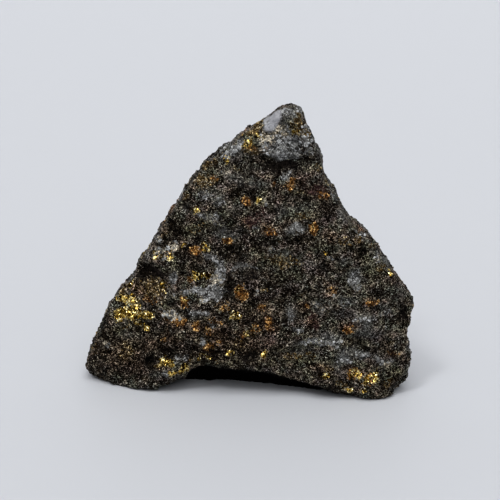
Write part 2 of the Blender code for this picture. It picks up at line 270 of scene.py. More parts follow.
FRONT_WASHES: dict[Wash, list[Mark]] = {
    Wash.HAZE: marks(
        (212, 193, 12, 7, 0.4, 20), (218, 198, 9, 5, 0.4), (205, 217, 8, 3, 0.7, -10),
        (235, 212, 8, 6, 0.4), (240, 180, 12, 6, 0.5), (241, 265, 10, 4, 0.8), (172, 280, 12, 3, 0.8, 80),
        (193, 315, 8, 5, 0.7), (130, 336, 14, 4, 0.4), (105, 345, 6, 3, 0.4), (291, 314, 9, 5, 0.9, 90),
        (318, 307, 6, 4, 1.2, -30), (355, 278, 8, 6, 1.0, 90), (345, 262, 8, 5, 0.5),
        (362, 316, 14, 5, 0.6, -5), (365, 327, 9, 7, 0.6), (346, 300, 10, 5, 0.6),
        (330, 338, 12, 5, 0.9, -10), (344, 358, 9, 6, 1.1, 50), (352, 350, 6, 4, 0.8),
        (376, 358, 8, 4, 0.6), (388, 362, 8, 4, 0.6), (384, 308, 8, 6, 0.5), (295, 230, 7, 3, 1.3),
        (285, 254, 5, 6, 0.6), (310, 265, 10, 6, 0.4), (362, 230, 8, 4, 0.6, -50),
        (372, 250, 6, 4, 0.5, -50), (182, 356, 5, 4, 0.6), (203, 344, 4, 4, 0.7), (155, 374, 8, 4, 0.5),
        (300, 344, 10, 5, 0.6), (256, 184, 12, 5, 0.5), (288, 176, 6, 5, 0.5), (297, 208, 14, 6, 0.5),
        (150, 254, 8, 3, 0.7, 50), (183, 209, 6, 3, 0.6, 50), (336, 196, 8, 4, 0.5, -60),
        (283, 148, 13, 9, 1.1), (277, 127, 8, 6, 0.9, 30), (262, 139, 5, 6, 0.9),
        (232, 147, 12, 5, 0.9, 25), (288, 112, 6, 6, 0.7), (299, 122, 7, 8, 0.4), (319, 149, 5, 8, 0.9),
        (250, 140, 9, 7, 0.5), (226, 173, 8, 4, 0.6), (255, 168, 14, 4, 0.3), (305, 134, 8, 10, 0.9),
        (224, 234, 12, 7, 0.7), (402, 294, 7, 8, 0.5), (366, 334, 14, 8, 0.6), (342, 215, 7, 8, 0.6, -50),
        (338, 312, 8, 5, 0.5), (300, 350, 18, 7, 0.4, -5), (250, 152, 12, 6, 0.7), (272, 150, 22, 8, 0.6),
        (270, 133, 10, 8, 0.5), (298, 352, 16, 6, 0.5, -5), (340, 372, 9, 6, 0.5),
        (232, 150, 16, 6, 0.5, 20), (200, 174, 8, 7, 0.5), (280, 213, 8, 6, 0.5), (284, 144, 12, 12, 0.8),
        (291, 113, 11, 7, 0.8), (238, 153, 9, 8, 0.6),
    ),
    # partly painted shade: the marks in the pits, under the tip's shelf, under the ledges and along the lower
    # edge stand for shadow; the others are darker patches of ore
    Wash.SMOKE: marks(
        (187, 203, 7, 5, 0.9), (235, 194, 6, 6, 0.7), (250, 195, 10, 7, 0.7), (217, 180, 5, 4, 0.7),
        (175, 225, 8, 10, 0.9, 30), (200, 240, 8, 5, 0.7), (232, 252, 13, 7, 0.9),
        (141, 274, 12, 7, 1.0, 20), (229, 290, 12, 5, 0.9, 90), (252, 274, 9, 8, 0.9),
        (250, 300, 8, 10, 0.7), (272, 241, 8, 6, 0.8), (258, 246, 6, 6, 0.7), (302, 241, 12, 5, 0.8),
        (302, 201, 8, 5, 0.6), (326, 206, 7, 9, 0.8, 30), (313, 192, 7, 6, 0.8), (262, 158, 9, 5, 0.8),
        (277, 168, 13, 4, 0.8), (298, 145, 6, 5, 1.0), (312, 156, 6, 5, 0.8), (281, 310, 8, 5, 0.7, 90),
        (332, 262, 9, 7, 0.6), (362, 251, 4, 4, 0.9), (356, 343, 9, 4, 0.9), (362, 351, 12, 4, 0.5),
        (403, 315, 10, 4, 1.0, 90), (394, 300, 8, 5, 0.2), (386, 387, 12, 6, 0.6), (168, 352, 9, 6, 1.0),
        (149, 361, 6, 6, 1.2), (104, 361, 9, 5, 0.7, 90), (125, 373, 9, 5, 0.6), (185, 349, 8, 5, 0.6),
        (252, 356, 7, 7, 0.8), (210, 312, 8, 5, 0.6), (255, 325, 6, 6, 0.5), (243, 366, 9, 4, 0.8),
        (291, 292, 6, 5, 0.7), (276, 281, 12, 7, 0.6), (200, 258, 5, 4, 0.6), (184, 276, 4, 7, 0.7),
        (154, 310, 5, 5, 0.6), (340, 310, 6, 4, 0.4), (318, 260, 6, 5, 0.5), (112, 352, 16, 12, 0.5),
        (140, 344, 12, 8, 0.6), (128, 367, 22, 7, 0.5), (150, 375, 14, 5, 0.4), (140, 334, 16, 6, 0.6),
        (175, 338, 14, 6, 0.3), (163, 247, 12, 9, 0.5), (375, 385, 14, 6, 0.3), (210, 333, 16, 7, 0.2),
        (372, 309, 7, 4, 0.3), (240, 345, 14, 8, 0.4), (120, 296, 8, 7, 0.5, 30),
        (330, 389, 16, 6, 0.8, 20), (205, 253, 10, 4, 0.4), (196, 272, 5, 6, 0.4), (260, 214, 8, 9, 0.5),
        (262, 294, 12, 8, 0.3), (282, 334, 9, 7, 0.5), (232, 315, 14, 7, 0.7), (200, 353, 22, 5, 0.8),
        (300, 312, 8, 6, 0.6), (380, 294, 9, 5, 0.5), (198, 268, 10, 5, 0.6), (382, 352, 10, 6, 0.5),
        (260, 334, 8, 7, 0.4), (200, 214, 8, 7, 0.4), (240, 294, 8, 7, 0.4), (180, 274, 7, 6, 0.5),
        (362, 354, 8, 6, 0.4), (120, 314, 8, 8, 0.3), (340, 394, 14, 5, 0.7), (321, 374, 8, 6, 0.8),
        (182, 314, 13, 7, 0.9), (104, 345, 13, 22, 0.7), (212, 354, 46, 7, 1.1), (178, 254, 26, 6, 0.5),
        (200, 334, 10, 6, 0.6), (150, 332, 18, 9, 0.8), (100, 375, 14, 8, 0.5), (280, 318, 9, 6, 0.4),
        (332, 392, 16, 6, 0.8, -10), (222, 254, 9, 6, 0.5), (203, 254, 9, 6, 0.7), (240, 214, 8, 6, 0.4),
    ),
    Wash.RUST: marks(
        (215, 335, 20, 10, 0.7), (213, 347, 10, 6, 0.9), (262, 311, 10, 9, 0.6), (269, 326, 8, 8, 0.8),
        (305, 308, 5, 5, 0.7), (312, 323, 6, 6, 0.8), (347, 328, 7, 4, 1.0), (176, 325, 14, 5, 0.7),
        (148, 345, 14, 8, 0.6), (201, 328, 10, 5, 0.7), (170, 340, 12, 5, 0.7), (141, 290, 14, 7, 0.7),
        (312, 190, 8, 6, 0.7), (247, 222, 6, 5, 0.8), (302, 180, 10, 6, 0.4), (331, 290, 6, 6, 0.6),
        (370, 301, 5, 5, 0.6), (392, 352, 8, 4, 0.6), (330, 236, 6, 6, 0.6), (245, 336, 9, 6, 0.7),
        (160, 366, 12, 5, 0.5), (250, 203, 7, 5, 0.5), (268, 228, 8, 4, 0.6), (290, 355, 14, 5, 0.4),
        (322, 370, 8, 5, 0.6), (280, 304, 14, 8, 0.3), (240, 300, 10, 8, 0.5), (192, 250, 10, 5, 0.6),
        (301, 138, 6, 6, 0.5), (262, 152, 8, 5, 0.7), (348, 372, 12, 6, 0.5), (162, 232, 8, 8, 0.5),
        (235, 345, 40, 12, 0.6), (250, 318, 24, 12, 0.4), (120, 356, 28, 16, 0.6), (178, 246, 14, 8, 0.4),
    ),
    Wash.OLIVE: marks(
        (190, 230, 20, 5, 0.7), (207, 226, 10, 5, 0.7), (276, 262, 14, 6, 0.7), (265, 205, 6, 8, 0.8),
        (299, 193, 12, 4, 0.7), (300, 212, 16, 7, 0.6), (285, 350, 16, 5, 0.7), (301, 360, 18, 6, 0.8),
        (240, 350, 10, 6, 0.7), (125, 350, 8, 11, 0.8), (118, 330, 10, 6, 0.6), (291, 275, 16, 5, 0.5),
        (324, 248, 10, 6, 0.6), (371, 275, 8, 6, 0.7), (331, 362, 12, 5, 0.6), (176, 262, 5, 10, 0.6),
        (310, 299, 10, 6, 0.5), (205, 172, 9, 9, 0.7), (240, 172, 10, 7, 0.5), (345, 245, 10, 5, 0.5, -30),
        (392, 375, 8, 6, 0.6), (305, 165, 8, 7, 0.4), (180, 300, 10, 4, 0.4), (250, 130, 12, 8, 0.8, 30),
        (250, 138, 9, 9, 1.4, 20), (300, 126, 8, 12, 1.2), (352, 282, 10, 14, 0.5), (352, 344, 14, 6, 0.6),
        (305, 345, 12, 5, 0.8), (224, 216, 8, 8, 0.5), (365, 250, 12, 6, 0.6), (366, 264, 14, 6, 0.5),
        (112, 345, 18, 14, 0.4), (222, 362, 26, 7, 0.5),
    ),
    Wash.PLUM: marks(
        (180, 188, 6, 4, 0.5), (238, 162, 8, 5, 0.5), (262, 215, 10, 9, 0.7), (246, 240, 7, 5, 0.6),
        (300, 178, 10, 6, 0.5), (330, 215, 8, 8, 0.6), (275, 202, 8, 8, 0.5), (250, 282, 8, 7, 0.9),
        (262, 297, 10, 6, 0.7), (310, 266, 10, 8, 0.6), (343, 240, 8, 6, 0.5), (347, 312, 9, 5, 0.5),
        (268, 342, 8, 8, 0.8), (185, 352, 8, 7, 0.6), (128, 371, 7, 5, 0.8), (380, 358, 10, 5, 0.6),
        (206, 305, 6, 5, 0.5), (290, 290, 9, 6, 0.7), (375, 335, 10, 8, 0.4), (152, 270, 8, 5, 0.5),
        (295, 245, 16, 5, 0.4), (240, 285, 10, 6, 0.5), (320, 316, 8, 10, 0.5), (145, 360, 8, 8, 0.5),
        (280, 294, 24, 8, 0.4),
    ),
}

FRONT_PATCHES: dict[Mineral, list[Mark]] = {
    Mineral.QUARTZ: marks(
        (271, 121, 10, 5, 1.5, 62), (286, 109, 8, 5, 1.0, -20), (294, 110, 6, 4, 0.5),
        (283, 131, 12, 4, 0.7), (306, 139, 6, 8, 0.8), (268, 155, 8, 4, 0.7), (266, 134, 9, 4, 0.9),
        (285, 141, 11, 6, 1.5, -10), (284, 152, 13, 8, 1.6, 5), (231, 147, 13, 6, 1.6, 25),
        (308, 152, 6, 4, 0.6, 40), (206, 195, 10, 7, 0.5), (219, 203, 7, 7, 0.5), (202, 218, 5, 3, 0.8),
        (216, 220, 10, 9, 0.5), (287, 174, 7, 2, 0.8, 40), (343, 204, 5, 6, 0.5, -50),
        (333, 187, 6, 4, 0.5, -40), (210, 258, 9, 4, 0.9, -10), (219, 268, 6, 9, 1.0),
        (214, 293, 10, 7, 1.2), (199, 292, 9, 4, 1.1), (186, 292, 6, 4, 0.8), (174, 279, 3, 9, 0.8),
        (196, 314, 9, 4, 0.7), (206, 315, 4, 4, 0.8), (249, 266, 9, 3, 0.6), (235, 270, 7, 3, 0.6, 30),
        (213, 326, 5, 2, 0.7), (203, 343, 2.5, 4, 1.0), (296, 229, 7, 4, 1.0, -15), (256, 228, 4, 4, 0.6),
        (356, 222, 9, 3, 0.7, -35), (363, 232, 5, 4, 0.5), (356, 281, 5, 11, 0.8), (345, 303, 4, 7, 0.6),
        (292, 317, 4, 6, 0.8), (297, 331, 6, 3, 0.7), (364, 322, 13, 5, 0.6), (385, 314, 7, 4, 0.6),
        (180, 360, 9, 2.5, 0.7, 35), (165, 374, 4, 3, 0.7), (316, 342, 20, 4, 0.8, -2),
        (337, 344, 5, 4, 0.7), (345, 361, 7, 3, 1.0, 15), (363, 357, 8, 4, 0.8, -5),
        (378, 361, 8, 2.5, 0.8, -40),
    ),
    # the spots from about 155 to 175 across and 239 to 257 down are painted highlights on fresh chalcopyrite;
    # the rest are cream quartz
    Mineral.CREAM: marks(
        (279, 127, 7, 4, 1.1, 20), (303, 131, 5, 7, 0.7), (276, 134, 10, 4, 1.1), (246, 150, 3, 3, 0.6),
        (264, 150, 6, 3, 0.6), (265, 139, 5, 7, 1.5), (225, 171, 6, 3, 0.6), (268, 205, 4, 8, 0.5),
        (157, 239, 3, 4, 1.7), (162, 248, 4, 3, 1.8), (171, 248, 5, 3.5, 1.9), (156, 254, 3, 4, 1.0),
        (170, 257, 5, 2.6, 1.6, 30), (175, 242, 4, 2, 0.8, 20), (218, 281, 6, 9, 1.0),
        (175, 314, 9, 4, 1.2, -8), (173, 296, 4, 3, 0.8), (203, 301, 5, 4, 0.7, 30), (162, 309, 5, 4, 0.6),
        (257, 293, 2, 2.5, 1.1), (272, 249, 2, 2, 1.3), (331, 258, 2.2, 2.2, 1.2),
        (377, 260, 4, 2.5, 1.0, -20), (315, 304, 2.2, 2.2, 1.3), (333, 298, 2, 2, 1.0),
        (322, 308, 6, 3, 0.9, -15), (107, 345, 7, 5, 0.5), (388, 364, 4, 2.5, 0.8),
    ),
    Mineral.BRASS: marks(
        (250, 152, 8, 5, 1.1), (254, 131, 9, 7, 1.3), (300, 125, 7, 10, 1.3), (279, 132, 4, 4, 0.7),
        (306, 136, 5, 8, 0.6), (318, 170, 5, 8, 0.5), (208, 165, 9, 6, 0.9, 20), (203, 180, 11, 6, 1.2),
        (238, 171, 4, 4, 0.7), (187, 197, 6, 4, 0.8), (303, 193, 5, 5, 0.6), (301, 215, 14, 6, 0.6),
        (200, 230, 10, 5, 0.6), (154, 287, 14, 11, 1.0), (123, 290, 6, 5, 0.9, 40), (130, 327, 10, 4, 0.6),
        (263, 291, 4, 3, 0.7), (284, 261, 18, 7, 0.7, -10), (357, 239, 5, 6, 0.7), (344, 243, 8, 7, 0.6),
        (373, 240, 6, 3, 0.7, -40), (379, 270, 7, 4, 0.7), (305, 295, 6, 3, 0.6), (95, 348, 4, 7, 0.6),
        (126, 351, 7, 8, 0.8), (217, 364, 4, 3, 0.7), (236, 345, 9, 6, 0.6), (190, 362, 8, 5, 0.6, 30),
        (388, 386, 5, 5, 0.9), (327, 369, 10, 4, 0.8, -10), (342, 382, 8, 4, 0.7, -15),
        (292, 356, 14, 5, 0.7, -8), (311, 356, 8, 4, 0.6), (392, 344, 5, 3, 0.6),
    ),
    Mineral.GOLD: marks(
        (258, 138, 4, 3, 0.8), (249, 146, 4, 5, 1.1), (297, 132, 5, 2.5, 1.0), (226, 158, 4, 4, 1.3),
        (197, 211, 4, 4, 0.8), (261, 201, 3, 3, 0.8), (157, 239, 3, 3, 0.5), (162, 250, 4, 3, 0.4),
        (171, 252, 5, 4, 0.5), (157, 255, 3, 5, 0.7), (169, 259, 6, 4, 0.6), (182, 246, 3, 2, 0.9),
        (203, 247, 4, 3, 0.9), (208, 252, 3, 3, 0.5), (196, 277, 4, 4, 1.3), (205, 277, 5, 4, 1.1),
        (184, 299, 1.5, 2.5, 0.8, 8), (241, 291, 2, 2, 1.0), (164, 287, 4, 5, 0.8),
        (127, 299, 9, 4.5, 1.3), (130, 283, 4, 4, 0.5), (126, 313, 11, 5.5, 1.9, 15),
        (136, 307, 3, 3, 1.3), (145, 315, 9, 4, 1.5), (134, 321, 7, 4, 0.8, -20), (145, 329, 4, 4, 0.9),
        (234, 315, 6, 4, 0.8), (246, 334, 4, 4, 1.0), (313, 228, 1.3, 1.5, 0.9), (391, 273, 3, 3, 0.9),
        (325, 253, 2.5, 2.5, 0.8), (165, 363, 6.5, 4, 1.7, 5), (182, 370, 3, 6.5, 1.8, -35),
        (173, 374, 4, 2.5, 1.4, 10), (200, 356, 3, 4, 0.7), (209, 357, 3, 3, 0.7), (228, 354, 5, 3.5, 0.9),
        (356, 373, 4, 3.5, 1.2), (367, 381, 3.5, 4, 1.3), (376, 378, 4, 6, 0.9), (364, 390, 4, 3, 0.8),
        (348, 389, 4, 3, 1.0), (325, 376, 3.5, 3, 1.2), (266, 354, 3.5, 4, 0.9),
    ),
    Mineral.COPPER: marks(
        (251, 151, 5, 3, 0.8), (214, 180, 5, 4, 0.7), (291, 184, 5, 5, 1.1), (276, 185, 3, 3, 0.7),
        (246, 201, 6, 4, 0.7), (322, 196, 7, 4, 0.6), (170, 252, 6, 5, 0.6), (196, 251, 5, 5, 1.3),
        (227, 241, 5, 4, 1.0), (189, 281, 4, 3, 0.8), (184, 301, 3.5, 6, 1.6, 8), (241, 293, 5.5, 6, 1.6),
        (150, 300, 8, 4, 0.7), (178, 322, 9, 3, 0.9), (196, 327, 4, 3, 1.1), (224, 307, 8, 5, 0.5),
        (244, 338, 4, 3, 0.8), (217, 322, 8, 3, 0.7), (210, 331, 6, 3, 0.7), (313, 229, 4, 4.5, 1.6),
        (270, 233, 5, 4, 0.8), (333, 291, 4, 5, 0.7), (372, 302, 7, 3, 0.8), (306, 307, 3, 3, 0.8),
        (263, 308, 5, 4, 0.8), (270, 322, 4, 6, 1.0), (349, 330, 5, 4, 1.5), (210, 345, 5, 4, 1.0),
        (164, 340, 3, 3, 0.8), (220, 341, 3, 5, 0.7), (356, 373, 6, 5, 0.9), (368, 381, 6, 6, 0.8),
        (394, 352, 8, 3, 0.5), (256, 329, 7, 6, 0.6),
    ),
    Mineral.BORNITE: marks(
        (252, 222, 7, 6, 1.0), (260, 213, 5, 8, 0.7), (317, 190, 10, 5, 0.9), (311, 318, 4, 3, 0.9),
        (315, 326, 4, 6, 1.0), (270, 343, 6, 5, 0.5),
    ),
    # painted shade: most of these sit in the front's pits, cracks and under its ledges, where they stand for
    # shadow
    Mineral.DARK: marks(
        (285, 166, 22, 6, 1.0, -3), (300, 148, 7, 6, 0.8), (318, 157, 7, 8, 0.8),
        (156, 273, 14, 3, 1.1, 3), (139, 277, 6, 3, 0.9, 30), (172, 304, 5, 3, 0.9), (250, 275, 9, 6, 0.8),
        (232, 291, 4, 8, 0.8), (364, 252, 3, 3, 1.5), (324, 268, 5, 2, 1.0), (346, 270, 4, 5, 0.8),
        (404, 312, 4, 11, 1.0), (394, 298, 10, 3, 0.8), (149, 361, 4.5, 3, 1.6), (166, 352, 9, 3, 1.0),
        (248, 358, 8, 5, 1.1), (90, 358, 4, 8, 0.7), (104, 363, 6, 4, 0.5),
    ),
}


def only(thing: Object) -> None:
    """Select one object alone and make it the active one.

    Args:
        thing: The object that the next operators are to act on.
    """
    bpy.ops.object.select_all(action="DESELECT")
    thing.select_set(True)
    bpy.context.view_layer.objects.active = thing


def points_of(thing: Object) -> np.ndarray:
    """Read an object's points.

    Args:
        thing: A mesh object.

    Returns:
        One row of x, y, z for each point, in millimetres.
    """
    flat = np.empty(len(thing.data.vertices) * 3)
    thing.data.vertices.foreach_get("co", flat)
    return flat.reshape(-1, 3) / MM


def normals_of(thing: Object) -> np.ndarray:
    """Read the outward direction at each of an object's points.

    Args:
        thing: A mesh object.

    Returns:
        One unit row for each point.
    """
    flat = np.empty(len(thing.data.vertices) * 3)
    thing.data.vertices.foreach_get("normal", flat)
    return flat.reshape(-1, 3)


def set_points(thing: Object, points: np.ndarray) -> None:
    """Move an object's points.

    Args:
        thing: A mesh object.
        points: One row for each point, in millimetres.
    """
    thing.data.vertices.foreach_set("co", (points * MM).ravel())
    thing.data.update()


def mark(thing: Object, name: str, values: np.ndarray) -> None:
    """Mark an object's points with a number each.

    Args:
        thing: A mesh object.
        name: The name of the marks.
        values: One number for each point.
    """
    thing.data.attributes.new(name, "FLOAT", "POINT").data.foreach_set("value", values)


def marks_of(thing: Object, name: str) -> np.ndarray:
    """Read the numbers that an object's points are marked with.

    Args:
        thing: A mesh object.
        name: The name of the marks.

    Returns:
        One number for each point.
    """
    values = np.empty(len(thing.data.vertices))
    thing.data.attributes[name].data.foreach_get("value", values)
    return values


def smoothstep(low: float, high: float, values: np.ndarray) -> np.ndarray:
    """Rise from 0 at low to 1 at high without a corner.

    Args:
        low: Where the rise starts.
        high: Where it ends.
        values: The numbers to shape.

    Returns:
        Numbers from 0 to 1.
    """
    share = np.clip((values - low) / (high - low), 0.0, 1.0)
    return share * share * (3.0 - 2.0 * share)


def bends(points: np.ndarray, size: float) -> np.ndarray:
    """Find which way noise bends each place.

    Args:
        points: Places, in millimetres.
        size: How large the bends are.

    Returns:
        One row for each place, with numbers from about -1 to 1.
    """
    return np.array([noise.noise_vector(Vector(p) / size)[:] for p in points])


def chip_height(place: Vector) -> float:
    """Height of a skin of flat chips one unit across, each a plane with a tilt of its own.

    Args:
        place: Where, in chips.

    Returns:
        A height from about -1 to 1.
    """
    centre = noise.voronoi(place)[1][0]
    tilt = noise.cell_vector(centre * 7.3)
    step = noise.cell(centre * 5.1)
    return max(-1.0, min(1.0, 1.1 * tilt.dot(place - centre) + 0.5 * step - 0.25))


@dataclass
class OreMap:
    """Where minerals and tones show: patches listed for the front, scattered ones everywhere else."""

    front_edge: float = -5.0  # the front patches are whole in front of this depth
    front_end: float = 3.0  # and have faded away behind this one
    warp: tuple[tuple[float, float], ...] = ((3.2, 1.1), (1.3, 0.6))  # noise size and reach
    scattered: dict[Mineral | Wash, tuple[int, float, float]] = field(
        default_factory=lambda: {
            Wash.HAZE: (110, 1.0, 3.8),
            Wash.SMOKE: (110, 1.4, 3.6),
            Wash.RUST: (60, 1.4, 4.5),
            Wash.OLIVE: (45, 1.6, 4.0),
            Wash.PLUM: (50, 1.6, 3.4),
            Mineral.GOLD: (110, 0.7, 2.2),
            Mineral.BRASS: (75, 1.2, 3.6),
            Mineral.COPPER: (60, 0.7, 1.8),
            Mineral.BORNITE: (14, 1.0, 2.4),
            Mineral.QUARTZ: (80, 1.0, 4.2),
            Mineral.CREAM: (45, 0.6, 1.9),
            Mineral.DARK: (45, 1.0, 3.4),
        }
    )
    wash_edge: float = 2.0  # how sharply a wash ends, 2 for a soft edge and more for a harder one
    mineral_edge: float = 2.5
    stretch: tuple[float, float] = (0.45, 1.55)  # how far a scattered patch is squeezed or drawn out
    strength: tuple[float, float] = (0.5, 1.1)
    seed: int = 33

    def masks(self, points: np.ndarray, facing: np.ndarray, sight: Sight) -> dict[str, np.ndarray]:
        """Work out how strongly each mineral and each tone shows at each point.

        Args:
            points: Places on the skin, in millimetres.
            facing: How squarely each faces the front, from 0 to 1.
            sight: What lays the marks of the front on the stone.

        Returns:
            For each mask's name one number a point, 0 where it is absent and 1 or more at its heart.
        """
        warped = points.copy()
        for size, reach in self.warp:
            warped += reach * bends(points, size)
        in_front = facing * (1.0 - smoothstep(self.front_edge, self.front_end, points[:, 1]))
        by_hand = FRONT_WASHES | FRONT_PATCHES
        found = {}
        for number, (kind, scatter) in enumerate(self.scattered.items()):
            chance = np.random.default_rng(self.seed + number)
            edge = self.wash_edge if isinstance(kind, Wash) else self.mineral_edge
            front = self._set_by_hand(sight.lay(by_hand[kind]), warped, edge) * in_front
            around = self._strewn(scatter, chance, points, warped) * (1.0 - in_front)
            found[kind.value] = np.maximum(front, around)
        return found

    def _set_by_hand(self, blobs: list[Patch], warped: np.ndarray, edge: float) -> np.ndarray:
        """Lay the patches of the front face over each other.

        Args:
            blobs: The patches.
            warped: Places on the skin after the noise has moved them.
            edge: How sharply a patch ends.

        Returns:
            One number a point.
        """
        mask = np.zeros(len(warped))
        for blob in blobs:
            mask = np.maximum(mask, blob.strength * np.exp(-FALLOFF * blob.reach(warped) ** edge))
        return mask

    def _strewn(
        self,
        scatter: tuple[int, float, float],
        chance: np.random.Generator,
        points: np.ndarray,
        warped: np.ndarray,
    ) -> np.ndarray:
        """Lay scattered patches over each other.

        Args:
            scatter: How many there are, and their smallest and largest half size.
            chance: The source of random numbers.
            points: Places on the skin.
            warped: The same places after the noise has moved them.

        Returns:
            One number a point.
        """
        mask = np.zeros(len(points))
        count, small, large = scatter
        for _ in range(count):
            middle = points[chance.integers(len(points))]
            size = small * (large / small) ** chance.random()
            stretch = chance.uniform(*self.stretch, 3)
            strength = chance.uniform(*self.strength)
            apart = (((warped - middle) / (size * stretch)) ** 2).sum(axis=1)
            mask = np.maximum(mask, strength * np.exp(-FALLOFF * apart))
        return mask


@dataclass
class OreSkin:
    """The stone itself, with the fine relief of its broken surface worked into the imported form."""

    name: str = "ore_skin"
    voxel: float = 0.50
    melt_rounds: int = 3
    ledges: tuple[float, float] = (4.6, 0.42)  # size of the chips, and how far they stand up or sink
    chips: tuple[float, float] = (1.9, 0.26)
    grains: tuple[float, float] = (0.95, 0.16)
    jitter: float = 0.04
    pits: tuple[float, float, float] = (2.6, 0.55, 0.75)  # size, where they start, and depth
    carving: tuple[float, float, float] = (0.0, 0.94, -0.34)  # the way that the hollows go in
    feet: float = 0.7  # the relief dies away this close to the floor
    front_depth: tuple[float, float] = (2.0, -1.0)  # the front begins and is whole at these depths
    plate_edge: tuple[float, float] = (1.15, 0.85)
    lip_edge: tuple[float, float] = (-0.4, 0.5)
    hollow_bends: tuple[float, float] = (1.1, 0.35)  # size and reach of the bends in the hollows' outlines
    hollow_edge: tuple[float, float] = (1.3, 0.55)
    front_facing: tuple[float, float] = (0.0, 0.25)  # between the sides and the front
    seed: int = 5
    ore_map: OreMap = field(default_factory=OreMap)

    def build(self) -> Object:
        """Make the stone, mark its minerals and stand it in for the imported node.

        Returns:
            The stone.
        """
        skin = self._fine_copy()
        sight = Sight(View(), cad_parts[NODE])
        facing = smoothstep(*self.front_facing, -normals_of(skin)[:, 1])
        self._work_relief(skin, facing, sight.lay(FRONT_HOLLOWS))
        for name, mask in self.ore_map.masks(points_of(skin), facing, sight).items():
            mark(skin, name, mask)
        mark(skin, Film.PLATE.value, self._plate(points_of(skin), facing))
        # painted shade: mark the undercut between the feet, which is coloured near black as if in shadow
        mark(skin, Film.UNDERCUT_SHADE.value, self._undercut(points_of(skin)))
        skin.data.materials.clear()
        skin.data.materials.append(OreFinish().make())
        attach(skin, BODY)
        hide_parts(NODE)
        log.info("%s: %d faces", skin.name, len(skin.data.polygons))
        return skin

    def _fine_copy(self) -> Object:
        """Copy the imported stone, merge it, and give it an even skin of fine faces.

        Returns:
            The new object.
        """
        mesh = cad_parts[NODE].data.copy()
        skin = bpy.data.objects.new(self.name, mesh)
        bpy.context.scene.collection.objects.link(skin)
        only(skin)
        bpy.ops.object.mode_set(mode="EDIT")
        bpy.ops.mesh.select_all(action="SELECT")
        bpy.ops.mesh.remove_doubles(threshold=0.01 * MM)
        bpy.ops.object.mode_set(mode="OBJECT")
        fine = skin.modifiers.new("Even skin", "REMESH")
        fine.mode = "VOXEL"
        fine.voxel_size = self.voxel * MM
        bpy.ops.object.modifier_apply(modifier=fine.name)
        melt = skin.modifiers.new("Melt the coarse facets", "SMOOTH")
        melt.factor = 0.5
        melt.iterations = self.melt_rounds
        bpy.ops.object.modifier_apply(modifier=melt.name)
        bpy.ops.object.shade_flat()
        return skin

    def _work_relief(self, skin: Object, facing: np.ndarray, hollows: list[Patch]) -> None:
        """Work ledges, chips, pits and single grains into the skin.

        Args:
            skin: The stone.
            facing: How squarely each of its points faces the front.
            hollows: The pits, cracks and undercuts of the front.
        """
        points = points_of(skin)
        chance = np.random.default_rng(self.seed)
        height = np.zeros(len(points))
        for size, reach in (self.ledges, self.chips, self.grains):
            height += reach * np.array([chip_height(Vector(p) / size) for p in points])
        size, start, depth = self.pits
        hollow = np.array([noise.noise(Vector(p) / size) for p in points])
        height -= depth * smoothstep(start, 1.0, hollow * 1.6)
        height *= smoothstep(0.0, self.feet, points[:, 2])
        plate = self._plate(points, facing)
        height *= 1.0 - plate
        normals = normals_of(skin)
        points += normals * height[:, None]
        points += chance.normal(0.0, self.jitter, points.shape) * (1.0 - plate[:, None])
        points += np.outer(self._hollow_depth(points, hollows) * facing, self.carving)
        points[:, 2] = np.maximum(points[:, 2], 0.0)
        set_points(skin, points)

    def _plate(self, points: np.ndarray, facing: np.ndarray) -> np.ndarray:
        """Find the smooth cleavage face under the tip.

        Args:
            points: Places on the skin.
            facing: How squarely each faces the front.

        Returns:
            One number a point, 1 on the face and 0 off it.
        """
        in_front = smoothstep(*self.front_depth, points[:, 1])
        return smoothstep(*self.plate_edge, FRONT_PLATE.reach(points)) * in_front * facing

    def _undercut(self, points: np.ndarray) -> np.ndarray:
        """Find the skin of the undercut between the feet, which is painted near black as shade.

        Args:
            points: Places on the skin.

        Returns:
            One number a point, 1 in the undercut and 0 off it.
        """
        across, up = zip(*FRONT_LIP)
        below = np.interp(points[:, 0], across, up, left=-5.0, right=-5.0) - points[:, 2]
        return smoothstep(*self.lip_edge, below) * smoothstep(*self.front_depth, points[:, 1])

    def _hollow_depth(self, points: np.ndarray, hollows: list[Patch]) -> np.ndarray:
        """Work out how far the pits, cracks and undercuts of the front go into the stone.

        Args:
            points: Places on the skin.
            hollows: The pits, cracks and undercuts.

        Returns:
            One depth a point, in millimetres.
        """
        size, reach = self.hollow_bends
        warped = points + reach * bends(points, size)
        depth = np.zeros(len(points))
        for hollow in hollows:
            share = smoothstep(*self.hollow_edge, hollow.reach(warped))
            depth = np.maximum(depth, hollow.strength * share)
        return depth


